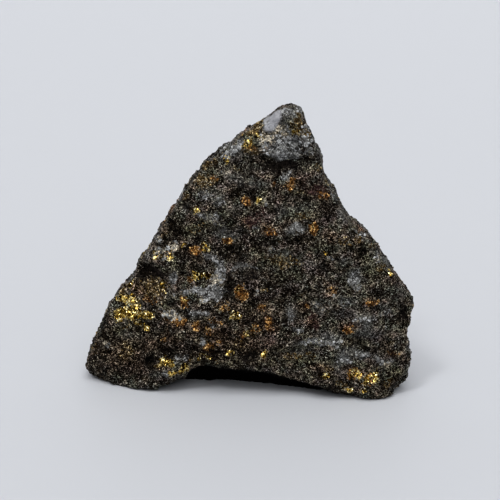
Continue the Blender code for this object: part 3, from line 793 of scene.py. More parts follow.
@dataclass
class GrainShape:
    """A broken crystal grain about one unit across: a ball of flat faces cut by a few planes."""

    cuts: int = 4
    seed: int = 1
    radius: float = 0.6
    cut_depth: tuple[float, float] = (0.18, 0.42)  # how far from the middle the planes cut
    weld: float = 0.05
    flat: float = 12.0  # faces that meet at less than this angle become one

    def mesh(self) -> tuple[np.ndarray, np.ndarray]:
        """Model the grain.

        Returns:
            Its points, and its triangles as rows of three point numbers.
        """
        chance = np.random.default_rng(self.seed)
        bpy.ops.object.select_all(action="DESELECT")
        bpy.ops.mesh.primitive_ico_sphere_add(subdivisions=1, radius=self.radius)
        grain = bpy.context.object
        bpy.ops.object.mode_set(mode="EDIT")
        for _ in range(self.cuts):
            facing = chance.normal(size=3)
            facing /= np.linalg.norm(facing)
            bpy.ops.mesh.select_all(action="SELECT")
            bpy.ops.mesh.bisect(
                plane_co=tuple(facing * chance.uniform(*self.cut_depth)),
                plane_no=tuple(facing),
                use_fill=True,
                clear_outer=True,
            )
        bpy.ops.mesh.select_all(action="SELECT")
        bpy.ops.mesh.remove_doubles(threshold=self.weld)
        bpy.ops.mesh.dissolve_limited(angle_limit=math.radians(self.flat))
        bpy.ops.mesh.quads_convert_to_tris()
        bpy.ops.mesh.normals_make_consistent(inside=False)
        bpy.ops.object.mode_set(mode="OBJECT")
        points = np.empty(len(grain.data.vertices) * 3)
        grain.data.vertices.foreach_get("co", points)
        faces = np.empty(len(grain.data.polygons) * 3, dtype=int)
        grain.data.polygons.foreach_get("vertices", faces)
        bpy.data.objects.remove(grain)
        return points.reshape(-1, 3), faces.reshape(-1, 3)


@dataclass
class GrainCrust:
    """The grains of some minerals that stand out of the skin, as one joined mesh."""

    name: str
    slot: str
    kinds: tuple[Mineral, ...]
    finish: "GrainFinish | OreFinish"
    count: int
    size: tuple[float, float]
    flatness: float = 0.75
    sink: float = 0.18
    threshold: float = 0.45
    edge: float = 0.15  # the odds rise from none to full this far on each side of the threshold
    floor_gap: float = 0.6  # no grain grows closer to the floor than this share of the largest
    bias: float = 1.6  # above 1 there are more small grains than large ones
    ground_share: float = 0.0  # chance of a grain where no mineral of this crust shows
    seed: int = 1
    shapes: int = 6
    cuts: int = 4

    def build(self, skin: Object) -> Object:
        """Scatter the grains over the skin.

        Args:
            skin: The stone that carries them.

        Returns:
            The joined grains.
        """
        chance = np.random.default_rng(self.seed)
        odds = self._odds(skin)
        homes = chance.choice(len(odds), self.count, replace=False, p=odds)
        shapes = [GrainShape(self.cuts, self.seed * 100 + n).mesh() for n in range(self.shapes)]
        points = points_of(skin)
        normals = normals_of(skin)
        bodies, triangles, shades, owners = [], [], [], []
        total = 0
        for home in homes:
            form, faces = shapes[chance.integers(self.shapes)]
            bodies.append(self._grown(form, points[home], normals[home], chance))
            triangles.append(faces + total)
            shades.append(np.full(len(form), chance.random()))
            owners.append(np.full(len(form), home))
            total += len(form)
        crust = joined(self.name, np.vstack(bodies), np.vstack(triangles))
        mark(crust, "grain_shade", np.concatenate(shades))
        home_of = np.concatenate(owners)
        # every mask is copied from the skin point that each grain stands on, the painted shade and painted
        # highlight ones too
        for kind in (*Film, *Wash, *Mineral):
            mark(crust, kind.value, marks_of(skin, kind.value)[home_of])
        crust.data.materials.append(self.finish.make())
        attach(crust, BODY)
        log.info("%s: %d grains, %d faces", self.name, self.count, len(crust.data.polygons))
        return crust

    def _odds(self, skin: Object) -> np.ndarray:
        """Work out how likely a grain is at each point of the skin.

        Args:
            skin: The stone.

        Returns:
            One number a point, which together make 1.
        """
        mask = np.zeros(len(skin.data.vertices))
        for kind in self.kinds:
            mask = np.maximum(mask, marks_of(skin, kind.value))
        low, high = self.threshold - self.edge, self.threshold + self.edge
        odds = smoothstep(low, high, mask) + self.ground_share
        odds *= points_of(skin)[:, 2] > self.size[1] * self.floor_gap
        odds *= 1.0 - marks_of(skin, Film.PLATE.value)
        return odds / odds.sum()

    def _grown(
        self, form: np.ndarray, home: np.ndarray, out: np.ndarray, chance: np.random.Generator
    ) -> np.ndarray:
        """Size, turn and flatten one grain and sink it a little into the skin.

        Args:
            form: The points of its shape, about one unit across.
            home: The place on the skin where it stands.
            out: The way out of the skin there.
            chance: The source of random numbers.

        Returns:
            Its points, in millimetres.
        """
        small, large = self.size
        size = small * (large / small) ** (chance.random() ** self.bias)
        body = form @ random_turn(chance).T * size
        body -= np.outer(body @ out, out) * (1.0 - self.flatness)
        return body + (home - out * self.sink * size)


def random_turn(chance: np.random.Generator) -> np.ndarray:
    """Pick a turn in space with no direction preferred.

    Args:
        chance: The source of random numbers.

    Returns:
        A rotation matrix.
    """
    basis, scale = np.linalg.qr(chance.normal(size=(3, 3)))
    basis *= np.sign(np.diag(scale))
    if np.linalg.det(basis) < 0.0:
        basis[:, 0] *= -1.0
    return basis


def joined(name: str, points: np.ndarray, faces: np.ndarray) -> Object:
    """Make one mesh object of many small bodies.

    Args:
        name: The piece's name.
        points: All points, in millimetres.
        faces: All triangles, as rows of three point numbers.

    Returns:
        The new object.
    """
    mesh = bpy.data.meshes.new(name)
    points[:, 2] = np.maximum(points[:, 2], 0.0)
    mesh.from_pydata((points * MM).tolist(), [], faces.tolist())
    mesh.update()
    piece = bpy.data.objects.new(name, mesh)
    bpy.context.scene.collection.objects.link(piece)
    return piece


class Num:
    """A shader socket that carries a number, used in sums as if it were one."""

    def __init__(self, finish: "Wiring", socket: bpy.types.NodeSocket) -> None:
        """Wrap a socket.

        Args:
            finish: The wiring that new nodes are added to.
            socket: The output that gives the number.
        """
        self.finish = finish
        self.socket = socket

    def _math(self, operation: str, *values: "Num | float") -> "Num":
        """Add a Math node.

        Args:
            operation: What it does, by its Blender name.
            *values: What it works on.

        Returns:
            Its result.
        """
        node = self.finish.node("ShaderNodeMath", {"operation": operation}, dict(enumerate(values)))
        return Num(self.finish, node.outputs[0])

    def __add__(self, other: "Num | float") -> "Num":
        """Add."""
        return self._math("ADD", self, other)

    __radd__ = __add__

    def __mul__(self, other: "Num | float") -> "Num":
        """Multiply."""
        return self._math("MULTIPLY", self, other)

    __rmul__ = __mul__

    def __sub__(self, other: "Num | float") -> "Num":
        """Take away."""
        return self._math("SUBTRACT", self, other)

    def __rsub__(self, other: "Num | float") -> "Num":
        """Take away from a plain number."""
        return self._math("SUBTRACT", other, self)

    def sharp(self, gain: float) -> "Num":
        """Make a hard edge where the number passes 0, the harder the larger the gain."""
        return (self * gain + 0.5).clamped()

    def contrasted(self, gain: float) -> "Num":
        """Spread the number round a half."""
        return ((self - 0.5) * gain + 0.5).clamped()

    def size(self) -> "Num":
        """Drop the sign."""
        return self._math("ABSOLUTE", self)

    def clamped(self) -> "Num":
        """Hold between 0 and 1."""
        return self._math("MINIMUM", self._math("MAXIMUM", self, 0.0), 1.0)


class Wiring:
    """The node tree of one material as it is being wired."""

    def __init__(self, name: str) -> None:
        """Start a material with one Principled shader.

        Args:
            name: The material's name.
        """
        self.material = bpy.data.materials.new(name)
        self.material.use_nodes = True
        self.tree = self.material.node_tree
        self.shader = self.tree.nodes["Principled BSDF"]

    def node(self, kind: str, settings: dict, values: dict) -> bpy.types.Node:
        """Add any node.

        Args:
            kind: The node's type, by its Blender name.
            settings: Its settings, set before its sockets; "stops" is a ramp's list of place and colour.
            values: For each input, by name or number, a plain value, a socket or a Num.

        Returns:
            The node.
        """
        node = self.tree.nodes.new(kind)
        for setting, value in settings.items():
            if setting == "stops":
                self._set_ramp(node.color_ramp, value)
            else:
                setattr(node, setting, value)
        for name, value in values.items():
            self._feed(node.inputs[name], value)
        return node

    def _set_ramp(self, ramp: bpy.types.ColorRamp, stops: list[tuple[float, Colour]]) -> None:
        """Give a ramp its stops.

        Args:
            ramp: The ramp.
            stops: The place and the colour of each, in order.
        """
        while len(ramp.elements) < len(stops):
            ramp.elements.new(0.5)
        for element, (place, colour) in zip(ramp.elements, stops):
            element.position = place
            element.color = (*colour, 1.0)

    def _feed(self, socket: bpy.types.NodeSocket, value: object) -> None:
        """Give an input its value or link.

        Args:
            socket: The input.
            value: A plain value, a socket or a Num.
        """
        if isinstance(value, Num):
            value = value.socket
        if isinstance(value, bpy.types.NodeSocket):
            self.tree.links.new(value, socket)
        else:
            socket.default_value = value

    def surface(self, **values: object) -> None:
        """Feed the Principled shader.

        Args:
            **values: Its inputs, with underscores for spaces.
        """
        for name, value in values.items():
            self._feed(self.shader.inputs[name.replace("_", " ")], value)

    def num(self, node: bpy.types.Node, output: int | str = 0) -> Num:
        """Read one output of a node as a number."""
        return Num(self, node.outputs[output])

    def place(self) -> bpy.types.NodeSocket:
        """The place on the piece, in metres from its origin."""
        return self.node("ShaderNodeTexCoord", {}, {}).outputs["Object"]

    def mask(self, name: str) -> Num:
        """Read a number that is marked on the mesh.

        Args:
            name: The attribute's name.

        Returns:
            The number.
        """
        node = self.node("ShaderNodeAttribute", {"attribute_name": name}, {})
        return Num(self, node.outputs["Fac"])

    def noise(self, place: bpy.types.NodeSocket, size: float, detail: float = 2.0) -> bpy.types.Node:
        """Add a cloud pattern.

        Args:
            place: Where to read it.
            size: How large its clouds are, in millimetres.
            detail: How many finer layers it has.

        Returns:
            The noise node.
        """
        values = {"Vector": place, "Scale": 1.0 / (size * MM), "Detail": detail}
        return self.node("ShaderNodeTexNoise", {}, values)

    def shifted(self, place: bpy.types.NodeSocket, shift: tuple[float, float]) -> bpy.types.NodeSocket:
        """Bend a place a little this way and that.

        Args:
            place: The place.
            shift: The size of the bends and how far they reach, in millimetres.

        Returns:
            The bent place.
        """
        size, reach = shift
        bends = self.noise(place, size, 1.0).outputs["Color"]
        values = {0: bends, 1: (2.0 * reach * MM,) * 3, 2: place}
        return self.node("ShaderNodeVectorMath", {"operation": "MULTIPLY_ADD"}, values).outputs[0]

    def cells(self, place: bpy.types.NodeSocket, size: float) -> bpy.types.Node:
        """Add a pattern of grains.

        Args:
            place: Where to read it.
            size: How large a grain is, in millimetres.

        Returns:
            The Voronoi node.
        """
        values = {"Vector": place, "Scale": 1.0 / (size * MM)}
        return self.node("ShaderNodeTexVoronoi", {"feature": "F1"}, values)

    def ramp(self, share: Num, stops: list[tuple[float, Colour]]) -> bpy.types.NodeSocket:
        """Turn a number into a colour.

        Args:
            share: The number, from 0 to 1.
            stops: The ramp's stops.

        Returns:
            The colour.
        """
        return self.node("ShaderNodeValToRGB", {"stops": stops}, {"Fac": share}).outputs["Color"]

    def mix(self, share: Num, first: object, second: object) -> bpy.types.NodeSocket:
        """Mix two colours.

        Args:
            share: How much of the second.
            first: A colour or a socket.
            second: A colour or a socket.

        Returns:
            The mixed colour.
        """
        settings = {"data_type": "RGBA", "clamp_factor": True}
        node = self.node("ShaderNodeMix", settings, {"Factor": share, 6: first, 7: second})
        return node.outputs[2]

    def draws(self, pattern: bpy.types.Node) -> list[Num]:
        """Read the three random numbers that each grain of a pattern has.

        Args:
            pattern: The Voronoi node.

        Returns:
            Three numbers, each from 0 to 1 and the same all over a grain.
        """
        split = self.node("ShaderNodeSeparateColor", {}, {"Color": pattern.outputs["Color"]})
        return [self.num(split, index) for index in range(3)]

    def tinted(self, colour: object, tint: object) -> bpy.types.NodeSocket:
        """Multiply two colours.

        Args:
            colour: A colour or a socket.
            tint: A colour or a socket.

        Returns:
            The product.
        """
        settings = {"data_type": "RGBA", "blend_type": "MULTIPLY"}
        return self.node("ShaderNodeMix", settings, {"Factor": 1.0, 6: colour, 7: tint}).outputs[2]

    def facets(self, patterns: list[tuple[bpy.types.Node, "Num | float"]]) -> bpy.types.NodeSocket:
        """Turn the face of every grain its own way.

        Args:
            patterns: Voronoi nodes, each with how far it tips the surface.

        Returns:
            The normal.
        """
        normal = self.node("ShaderNodeNewGeometry", {}, {}).outputs["Normal"]
        for pattern, tip in patterns:
            back = tip * -0.5
            if not isinstance(tip, Num):
                tip, back = (tip,) * 3, (back,) * 3
            tilt = self.node(
                "ShaderNodeVectorMath",
                {"operation": "MULTIPLY_ADD"},
                {0: pattern.outputs["Color"], 1: tip, 2: back},
            )
            total = {0: normal, 1: tilt.outputs[0]}
            normal = self.node("ShaderNodeVectorMath", {"operation": "ADD"}, total).outputs[0]
        return self.node("ShaderNodeVectorMath", {"operation": "NORMALIZE"}, {0: normal}).outputs[0]


@dataclass(frozen=True)
class Look:
    """How the grains of one mineral look.

    Its ramp gives the colours from the darkest grain to the brightest, its share is how much of the heart
    of a patch is this mineral, and coarse is how far the large grains outweigh the small ones.
    """

    stops: list[tuple[float, Colour]]
    metallic: float
    roughness: float
    share: float = 1.0
    coarse: float = 0.22


LOOKS: dict[Mineral, Look] = {
    # the black mineral's colours, also used as painted shade in the front's hollows
    Mineral.DARK: Look([(0.0, (0.003, 0.002, 0.002)), (1.0, (0.045, 0.037, 0.031))], 0.2, 0.40, 0.9),
    Mineral.QUARTZ: Look(
        [(0.0, (0.017, 0.015, 0.013)), (0.3, (0.102, 0.100, 0.095)), (0.65, (0.240, 0.240, 0.235)),
         (1.0, (0.51, 0.514, 0.512))], 0.0, 0.45, 0.85
    ),
    # cream quartz colours, also used as painted highlights on fresh chalcopyrite
    Mineral.CREAM: Look(
        [(0.0, (0.022, 0.017, 0.011)), (0.4, (0.22, 0.19, 0.145)), (1.0, (0.80, 0.74, 0.62))], 0.0, 0.40,
        0.8, 0.40,
    ),
    Mineral.BORNITE: Look(
        [(0.0, (0.008, 0.004, 0.004)), (0.6, (0.052, 0.029, 0.028)), (1.0, (0.20, 0.125, 0.115))], 0.5, 0.40,
        0.7,
    ),
    Mineral.BRASS: Look(
        [(0.0, (0.012, 0.007, 0.003)), (0.4, (0.080, 0.054, 0.023)), (0.8, (0.25, 0.182, 0.088)),
         (1.0, (0.70, 0.61, 0.43))], 0.8, 0.34, 0.62, 0.32,
    ),
    Mineral.COPPER: Look(
        [(0.0, (0.010, 0.004, 0.0015)), (0.35, (0.078, 0.033, 0.010)), (0.72, (0.32, 0.165, 0.050)),
         (1.0, (0.92, 0.66, 0.33))], 0.6, 0.34, 0.76, 0.28,
    ),
    Mineral.GOLD: Look(
        [(0.0, (0.006, 0.0035, 0.001)), (0.30, (0.070, 0.040, 0.009)), (0.54, (0.38, 0.255, 0.056)),
         (0.76, (0.96, 0.75, 0.28)), (1.0, (1.0, 0.95, 0.68))], 1.0, 0.27, 0.88, 0.56,
    ),
}


WASHES: dict[Wash, tuple[Colour, float]] = {  # the tint, and how far it lifts or drops the tone
    Wash.OLIVE: ((1.03, 1.07, 0.70), 0.02),
    Wash.PLUM: ((1.06, 0.85, 0.92), -0.02),
    Wash.RUST: ((1.42, 0.91, 0.60), 0.02),
    Wash.HAZE: ((0.96, 1.0, 1.0), 0.18),
    # partly painted shade: drops the tone where the front is in shadow, and on darker patches of ore
    Wash.SMOKE: ((1.0, 0.92, 0.80), -0.26),
}


class GrainSizes:
    """The large, the middle and the fine grains that the ore is drawn with."""

    def __init__(self, wiring: Wiring, place: bpy.types.NodeSocket, sizes: tuple[float, ...]) -> None:
        """Lay the three patterns.

        Args:
            wiring: The material.
            place: Where to read them.
            sizes: How large the grains of each are, in millimetres.
        """
        self.patterns = [wiring.cells(place, size) for size in sizes]
        self.large, self.middle, self.fine = [wiring.draws(pattern) for pattern in self.patterns]


@dataclass(frozen=True)
class OreFinish:
    """Fine-grained massive ore: dark sulphide grains, and the other minerals where their masks say, with
    painted shade in crevices and in the undercut.

    Where a field gives three shares, they are those of the large, the middle and the fine grains.
    """

    name: str = "massive_ore_grains"
    sizes: tuple[float, float, float] = (0.90, 0.32, 0.20)
    tips: tuple[float, float, float] = (0.32, 0.70, 0.84)
    shine: tuple[float, float, float] = (0.45, -0.20, -0.45)  # how fresh metal changes the tips
    shift: tuple[float, float] = (0.7, 0.55)  # size and reach of the bends in the grains' outlines
    mottle: float = 3.4  # the size of the clouds in the tone
    warmth: tuple[float, float] = (3.0, 0.12)  # how far the clouds and the grains turn it grey or brown
    blush: tuple[float, float, float, float] = (3.0, 2.0, 0.1, 0.55)  # cloud size, gains, and where it starts
    wash: tuple[float, float, float, float] = (1.1, 0.2, 0.1, 0.85)  # gain, raggedness, start and cover
    tone: tuple[float, float, float] = (0.14, 0.36, 0.50)
    cloud_tone: float = 0.3
    contrast: float = 2.15
    lace: tuple[float, float, float] = (2.6, 9.0, 0.12)  # size, thinness, and how far it lifts the tone
    ground: tuple = (
        (0.0, (0.0014, 0.0006, 0.0003)),
        (0.2, (0.0058, 0.0032, 0.0016)),
        (0.5, (0.0192, 0.0145, 0.0100)),
        (0.76, (0.0500, 0.0450, 0.0378)),
        (0.91, (0.126, 0.122, 0.113)),
        (1.0, (0.46, 0.464, 0.455)),
    )
    dust: tuple = ((0.0, (0.048, 0.048, 0.047)), (0.5, (0.128, 0.129, 0.126)), (1.0, (0.31, 0.313, 0.306)))
    dust_cover: tuple[float, float, float] = (0.9, 0.45, 0.75)  # gain, raggedness and cover
    brown: Colour = (1.22, 1.12, 0.94)
    grey: Colour = (1.00, 1.05, 1.04)
    red: Colour = (1.08, 0.94, 0.96)
    moss: Colour = (0.93, 1.02, 0.93)
    even: tuple = (0.975, 0.95, 0.945, 1.0)
    metal: tuple[float, float, float] = (2.0, 0.9, 0.9)  # gain, where it starts, and the most there is
    roughness: tuple[float, float] = (0.25, 0.35)  # the least, and how much more a grain may have
    mineral_mix: tuple[float, float] = (0.6, 0.4)  # how far middle and fine grains share a patch out
    mineral_tone: tuple[float, float] = (0.46, 0.54)
    mineral_contrast: float = 1.9
    edge: float = 9.0  # how sharply a mineral or the painted crevice shade ends
    # painted shade: near-black colour laid on random tiny gaps between the grains, standing for the shadow in
    # them
    painted_crevice_shade: Colour = (0.0022, 0.0012, 0.0007)
    painted_crevice_share: float = 0.19
    plate: Colour = (0.40, 0.40, 0.42)
    plate_clouds: tuple[float, float] = (1.6, 0.7)  # their size, and how dark the darkest are
    plate_edge: float = 1.6
    # painted shade: the near-black colour of the undercut between the feet
    undercut_shade: Colour = (0.0022, 0.0017, 0.0014)
    specular: float = 0.09

    def make(self) -> bpy.types.Material:
        """Wire the material.

        Returns:
            The material.
        """
        wiring = Wiring(self.name)
        place = wiring.place()
        grains = GrainSizes(wiring, wiring.shifted(place, self.shift), self.sizes)
        clouds = wiring.num(wiring.noise(place, self.mottle, 3.0))
        level = self._level(wiring, place, grains, clouds)
        colour = wiring.tinted(
            wiring.ramp(level, list(self.ground)), self._tint(wiring, place, grains, clouds)
        )
        colour = wiring.tinted(colour, self.even)
        colour, metallic = self._dusted(wiring, grains, colour)
        least, more = self.roughness
        roughness = least + grains.fine[2] * more
        colour, metallic, roughness = self._minerals(wiring, grains, colour, metallic, roughness)
        colour, metallic, roughness = self._films(wiring, place, grains, colour, metallic, roughness)
        shiny = wiring.mask(Mineral.GOLD.value).clamped()
        tips = [
            (pattern, shiny * change + tip)
            for pattern, tip, change in zip(grains.patterns, self.tips, self.shine)
        ]
        wiring.surface(
            Base_Color=colour,
            Metallic=metallic,
            Roughness=roughness,
            Specular_IOR_Level=self.specular,
            Normal=wiring.facets(tips),
        )
        return wiring.material

    def _tint(
        self, wiring: Wiring, place: bpy.types.NodeSocket, grains: GrainSizes, clouds: Num
    ) -> bpy.types.NodeSocket:
        """Tint the dark grains grey, brown, red and green, and as the washes say.

        Args:
            wiring: The material.
            place: The place on the piece.
            grains: The three sizes of grain.
            clouds: The broad clouds in the tone.

        Returns:
            The tint.
        """
        by_cloud, by_grain = self.warmth
        warmth = ((clouds - 0.5) * by_cloud + (grains.middle[1] - 0.5) * by_grain + 0.5).clamped()
        tint = wiring.mix(warmth, (*self.grey, 1.0), (*self.brown, 1.0))
        size, by_cloud, by_grain, start = self.blush
        patches = wiring.num(wiring.noise(place, size, 1.0)) * by_cloud
        blush = (grains.large[1] * by_grain + patches - start).clamped()
        tint = wiring.tinted(tint, wiring.mix(blush, (*self.moss, 1.0), (*self.red, 1.0)))
        gain, ragged, start, cover = self.wash
        for wash, (colour, _) in WASHES.items():
            share = (wiring.mask(wash.value) * gain + (grains.large[2] - 0.5) * ragged - start).clamped()
            tint = wiring.mix(share * cover, tint, (*colour, 1.0))
        return tint

    def _level(self, wiring: Wiring, place: bpy.types.NodeSocket, grains: GrainSizes, clouds: Num) -> Num:
        """Work out how bright each dark grain is.

        Args:
            wiring: The material.
            place: The place on the piece.
            grains: The three sizes of grain.
            clouds: The broad clouds in the tone.

        Returns:
            A number from 0 to 1.
        """
        size, thinness, lift = self.lace
        ridge = wiring.num(wiring.noise(place, size, 4.0)) - 0.5
        lace = (1.0 - ridge.size() * thinness).clamped()
        large, middle, fine = self.tone
        bright = grains.middle[0] * middle + grains.fine[0] * fine + grains.large[0] * large
        bright = bright + (clouds - 0.5) * self.cloud_tone - 0.5
        level = bright * self.contrast + lace * lift + (0.5 - lift * 0.25)
        for wash, (_, change) in WASHES.items():
            level = level + wiring.mask(wash.value) * change
        return level.clamped()

    def _dusted(
        self, wiring: Wiring, grains: GrainSizes, colour: bpy.types.NodeSocket
    ) -> tuple[bpy.types.NodeSocket, Num]:
        """Lay pale dust where the stone is hazy.

        Args:
            wiring: The material.
            grains: The three sizes of grain.
            colour: The colour so far.

        Returns:
            The colour, and how metallic the grains under the dust are.
        """
        gain, ragged, cover = self.dust_cover
        haze = (wiring.mask(Wash.HAZE.value) * gain - grains.middle[1] * ragged).clamped() * cover
        colour = wiring.mix(haze, colour, wiring.ramp(grains.fine[1], list(self.dust)))
        gain, start, most = self.metal
        return colour, (grains.middle[2] * gain - start).clamped() * most * (1.0 - haze)

    def _minerals(
        self,
        wiring: Wiring,
        grains: GrainSizes,
        colour: bpy.types.NodeSocket,
        metallic: Num,
        roughness: Num,
    ) -> tuple[bpy.types.NodeSocket, Num, Num]:
        """Lay the grains of the other minerals over the dark ones.

        Args:
            wiring: The material.
            grains: The three sizes of grain.
            colour: The colour so far.
            metallic: How metallic it is so far.
            roughness: How rough it is so far.

        Returns:
            The same three with the minerals.
        """
        large, middle, fine = grains.large, grains.middle, grains.fine
        middle_mix, fine_mix = self.mineral_mix
        middle_tone, fine_tone = self.mineral_tone
        for number, (kind, look) in enumerate(LOOKS.items()):
            here, after, last = number % 3, (number + 1) % 3, (number + 2) % 3
            small = 1.0 - look.coarse
            lot = middle[here] * (middle_mix * small) + fine[after] * (fine_mix * small)
            lot = lot + large[last] * look.coarse
            share = (wiring.mask(kind.value) * look.share - lot).sharp(self.edge)
            tone = fine[here] * (fine_tone * small) + middle[last] * (middle_tone * small)
            tone = (tone + large[after] * look.coarse).contrasted(self.mineral_contrast)
            colour = wiring.mix(share, colour, wiring.ramp(tone, look.stops))
            metallic = metallic + share * (look.metallic - metallic)
            roughness = roughness + share * (look.roughness - roughness)
        return colour, metallic, roughness

    def _films(
        self,
        wiring: Wiring,
        place: bpy.types.NodeSocket,
        grains: GrainSizes,
        colour: bpy.types.NodeSocket,
        metallic: Num,
        roughness: Num,
    ) -> tuple[bpy.types.NodeSocket, Num, Num]:
        """Lay the painted shade of the crevices, the smooth quartz face and the painted shade of the undercut
        over all.

        Args:
            wiring: The material.
            place: The place on the piece.
            grains: The three sizes of grain.
            colour: The colour so far.
            metallic: How metallic it is so far.
            roughness: How rough it is so far.

        Returns:
            The same three with the films.
        """
        # painted shade: random tiny gaps between the grains are coloured near black as if in shadow
        painted_crevice_mask = (self.painted_crevice_share - (grains.fine[2] + grains.middle[1]) * 0.5).sharp(self.edge)
        colour = wiring.mix(painted_crevice_mask, colour, (*self.painted_crevice_shade, 1.0))
        plate = wiring.mask(Film.PLATE.value)
        size, darkest = self.plate_clouds
        cloud = wiring.num(wiring.noise(place, size, 4.0))
        dark = (*(darkest * part for part in self.plate), 1.0)
        pale = wiring.mix(cloud, dark, (*self.plate, 1.0))
        colour = wiring.mix(plate * (self.plate_edge - grains.fine[1]).clamped(), colour, pale)
        # painted shade: the undercut between the feet is coloured near black and made fully rough
        undercut_shade = wiring.mask(Film.UNDERCUT_SHADE.value)
        colour = wiring.mix(undercut_shade, colour, (*self.undercut_shade, 1.0))
        metallic = metallic * (1.0 - plate) * (1.0 - undercut_shade)
        return colour, metallic, roughness + undercut_shade * (1.0 - roughness)


@dataclass(frozen=True)
class GrainFinish:
    """The finish of loose-standing grains of one mineral, which vary from grain to grain."""

    name: str
    look: Look
    fine: float = 0.32
    tip: float = 0.5
    tone: tuple[float, float, float] = (0.6, 0.4, 1.4)  # by grain, by facet, and the contrast
    varied: float = 0.2  # how far the roughness varies
    specular: float = 0.3

    def make(self) -> bpy.types.Material:
        """Wire the material.

        Returns:
            The material.
        """
        wiring = Wiring(self.name)
        place = wiring.place()
        fine = wiring.cells(place, self.fine)
        shade = wiring.mask("grain_shade")
        by_grain, by_facet, contrast = self.tone
        tone = (shade * by_grain + wiring.draws(fine)[0] * by_facet).contrasted(contrast)
        wiring.surface(
            Base_Color=wiring.ramp(tone, self.look.stops),
            Metallic=self.look.metallic,
            Roughness=self.look.roughness + (wiring.draws(fine)[1] - 0.5) * self.varied,
            Specular_IOR_Level=self.specular,
            Normal=wiring.facets([(fine, self.tip)]),
        )
        return wiring.material


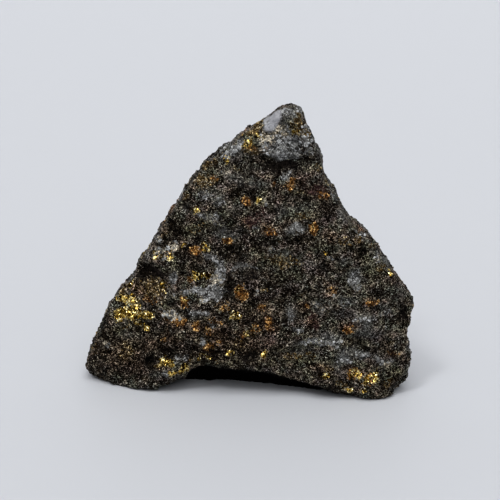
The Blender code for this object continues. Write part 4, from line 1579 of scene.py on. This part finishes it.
@dataclass
class Studio:
    """The pale table, the soft lights and the camera."""

    view: View = View()
    lens: float = 116.3
    floor_radius: float = 2200.0
    wall_height: float = 900.0
    bend: float = 500.0
    floor_colour: Colour = (0.530, 0.541, 0.565)
    sky: Colour = (0.95, 0.955, 0.97)
    sky_strength: float = 0.40

    def build(self) -> None:
        """Set up the camera, the lights and the floor."""
        self._camera()
        self._world()
        self._lamp("overhead_light", (-0.02, -0.42, 1.0), 44.0, 1.18)
        self._lamp("front_light", (0.10, -1.0, 0.55), 40.0, 0.8)
        self._lamp("sparkle_light", (-0.45, -0.60, 0.95), 11.0, 0.5)
        self._floor()
        bpy.context.scene.view_settings.view_transform = "Standard"
        bpy.context.scene.view_settings.look = "High Contrast"

    def _camera(self) -> None:
        """Place the camera: it looks down a little and is rolled a little."""
        bpy.ops.object.camera_add(location=self.view.eye() * MM)
        camera = bpy.context.object
        camera.name = "camera"
        tip = Matrix.Rotation(math.radians(90.0 - self.view.elevation), 3, "X")
        roll = Matrix.Rotation(math.radians(self.view.roll), 3, "Z")
        camera.rotation_euler = (tip @ roll).to_euler("XYZ")
        camera.data.lens = self.lens
        camera.data.sensor_width = 36.0
        camera.data.clip_start = 0.01
        bpy.context.scene.camera = camera

    def _world(self) -> None:
        """Fill the room with even light."""
        world = bpy.data.worlds.new("soft_room")
        world.use_nodes = True
        background = world.node_tree.nodes["Background"]
        background.inputs["Color"].default_value = (*self.sky, 1.0)
        background.inputs["Strength"].default_value = self.sky_strength
        bpy.context.scene.world = world

    def _lamp(self, name: str, side: tuple[float, float, float], width: float, strength: float) -> None:
        """Hang a soft light so far away that it is even all over the table.

        Args:
            name: The light's name.
            side: The direction from the stone to the light.
            width: How wide the light looks from the stone, in degrees.
            strength: The light that it gives, in watts a square metre.
        """
        bpy.ops.object.light_add(type="SUN", location=side)
        lamp = bpy.context.object
        lamp.name = name
        lamp.data.angle = math.radians(width)
        lamp.data.energy = strength
        lamp.rotation_euler = Vector(side).to_track_quat("Z", "Y").to_euler()

    def _floor(self) -> None:
        """Make a round table whose edge sweeps up into a wall."""
        bpy.ops.object.select_all(action="DESELECT")
        bpy.ops.mesh.primitive_circle_add(
            vertices=96, radius=self.floor_radius * MM, fill_type="NGON", location=(0, 0, 0)
        )
        floor = bpy.context.object
        floor.name = "studio_floor"
        bpy.ops.object.mode_set(mode="EDIT")
        bpy.ops.mesh.select_mode(type="EDGE")
        bpy.ops.mesh.select_all(action="SELECT")
        bpy.ops.mesh.extrude_edges_move(
            TRANSFORM_OT_translate={"value": (0, 0, self.wall_height * MM)}
        )
        bpy.ops.object.mode_set(mode="OBJECT")
        for edge in floor.data.edges:
            ends = [floor.data.vertices[index].co.z for index in edge.vertices]
            edge.select = max(ends) < 1e-6
        bpy.ops.object.mode_set(mode="EDIT")
        bpy.ops.mesh.bevel(offset=self.bend * MM, segments=12, affect="EDGES")
        bpy.ops.object.mode_set(mode="OBJECT")
        bpy.ops.object.shade_smooth_by_angle(angle=math.radians(40))
        wiring = Wiring("pale_table")
        wiring.surface(Base_Color=(*self.floor_colour, 1.0), Roughness=0.6)
        floor.data.materials.append(wiring.material)


def main() -> None:
    """Build the studio, the stone and its grains, and report each piece."""
    logging.basicConfig(level=logging.INFO, format="%(name)s: %(message)s")
    noise.seed_set(BEND_SEED)
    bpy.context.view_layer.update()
    Studio().build()
    skin = OreSkin().build()
    crusts = [
        GrainCrust(
            "coarse_sulphide_grains", "massive_ore", (Mineral.DARK,),
            OreFinish("coarse_ore_grains"),
            count=4200, size=(0.32, 0.66), flatness=0.6, ground_share=0.35, sink=0.24, seed=3,
        ),
        GrainCrust(
            "fine_sulphide_grains", "massive_ore", (Mineral.DARK,),
            OreFinish("fine_ore_grains"),
            count=4400, size=(0.20, 0.40), flatness=0.6, ground_share=0.35, sink=0.24, seed=8,
        ),
        GrainCrust(
            "quartz_grains", "quartz_grains", (Mineral.QUARTZ, Mineral.CREAM),
            GrainFinish("cloudy_quartz", LOOKS[Mineral.QUARTZ]),
            count=2600, size=(0.4, 1.5), seed=4,
        ),
        GrainCrust(
            "dull_chalcopyrite_grains", "chalcopyrite_grains", (Mineral.BRASS,),
            GrainFinish("dull_chalcopyrite", LOOKS[Mineral.BRASS]),
            count=1900, size=(0.35, 1.0), seed=5,
        ),
        GrainCrust(
            "copper_tarnish_grains", "copper_stain", (Mineral.COPPER,),
            GrainFinish("copper_tarnish", LOOKS[Mineral.COPPER]),
            count=900, size=(0.35, 1.0), seed=6,
        ),
        GrainCrust(
            "chalcopyrite_grains", "chalcopyrite_grains", (Mineral.GOLD,),
            GrainFinish("fresh_chalcopyrite", LOOKS[Mineral.GOLD], fine=0.7, tip=0.45),
            count=1300, size=(0.5, 1.9), sink=0.3, seed=7,
        ),
    ]
    for crust in crusts:
        crust.build(skin)


if __name__ == "__main__":
    main()
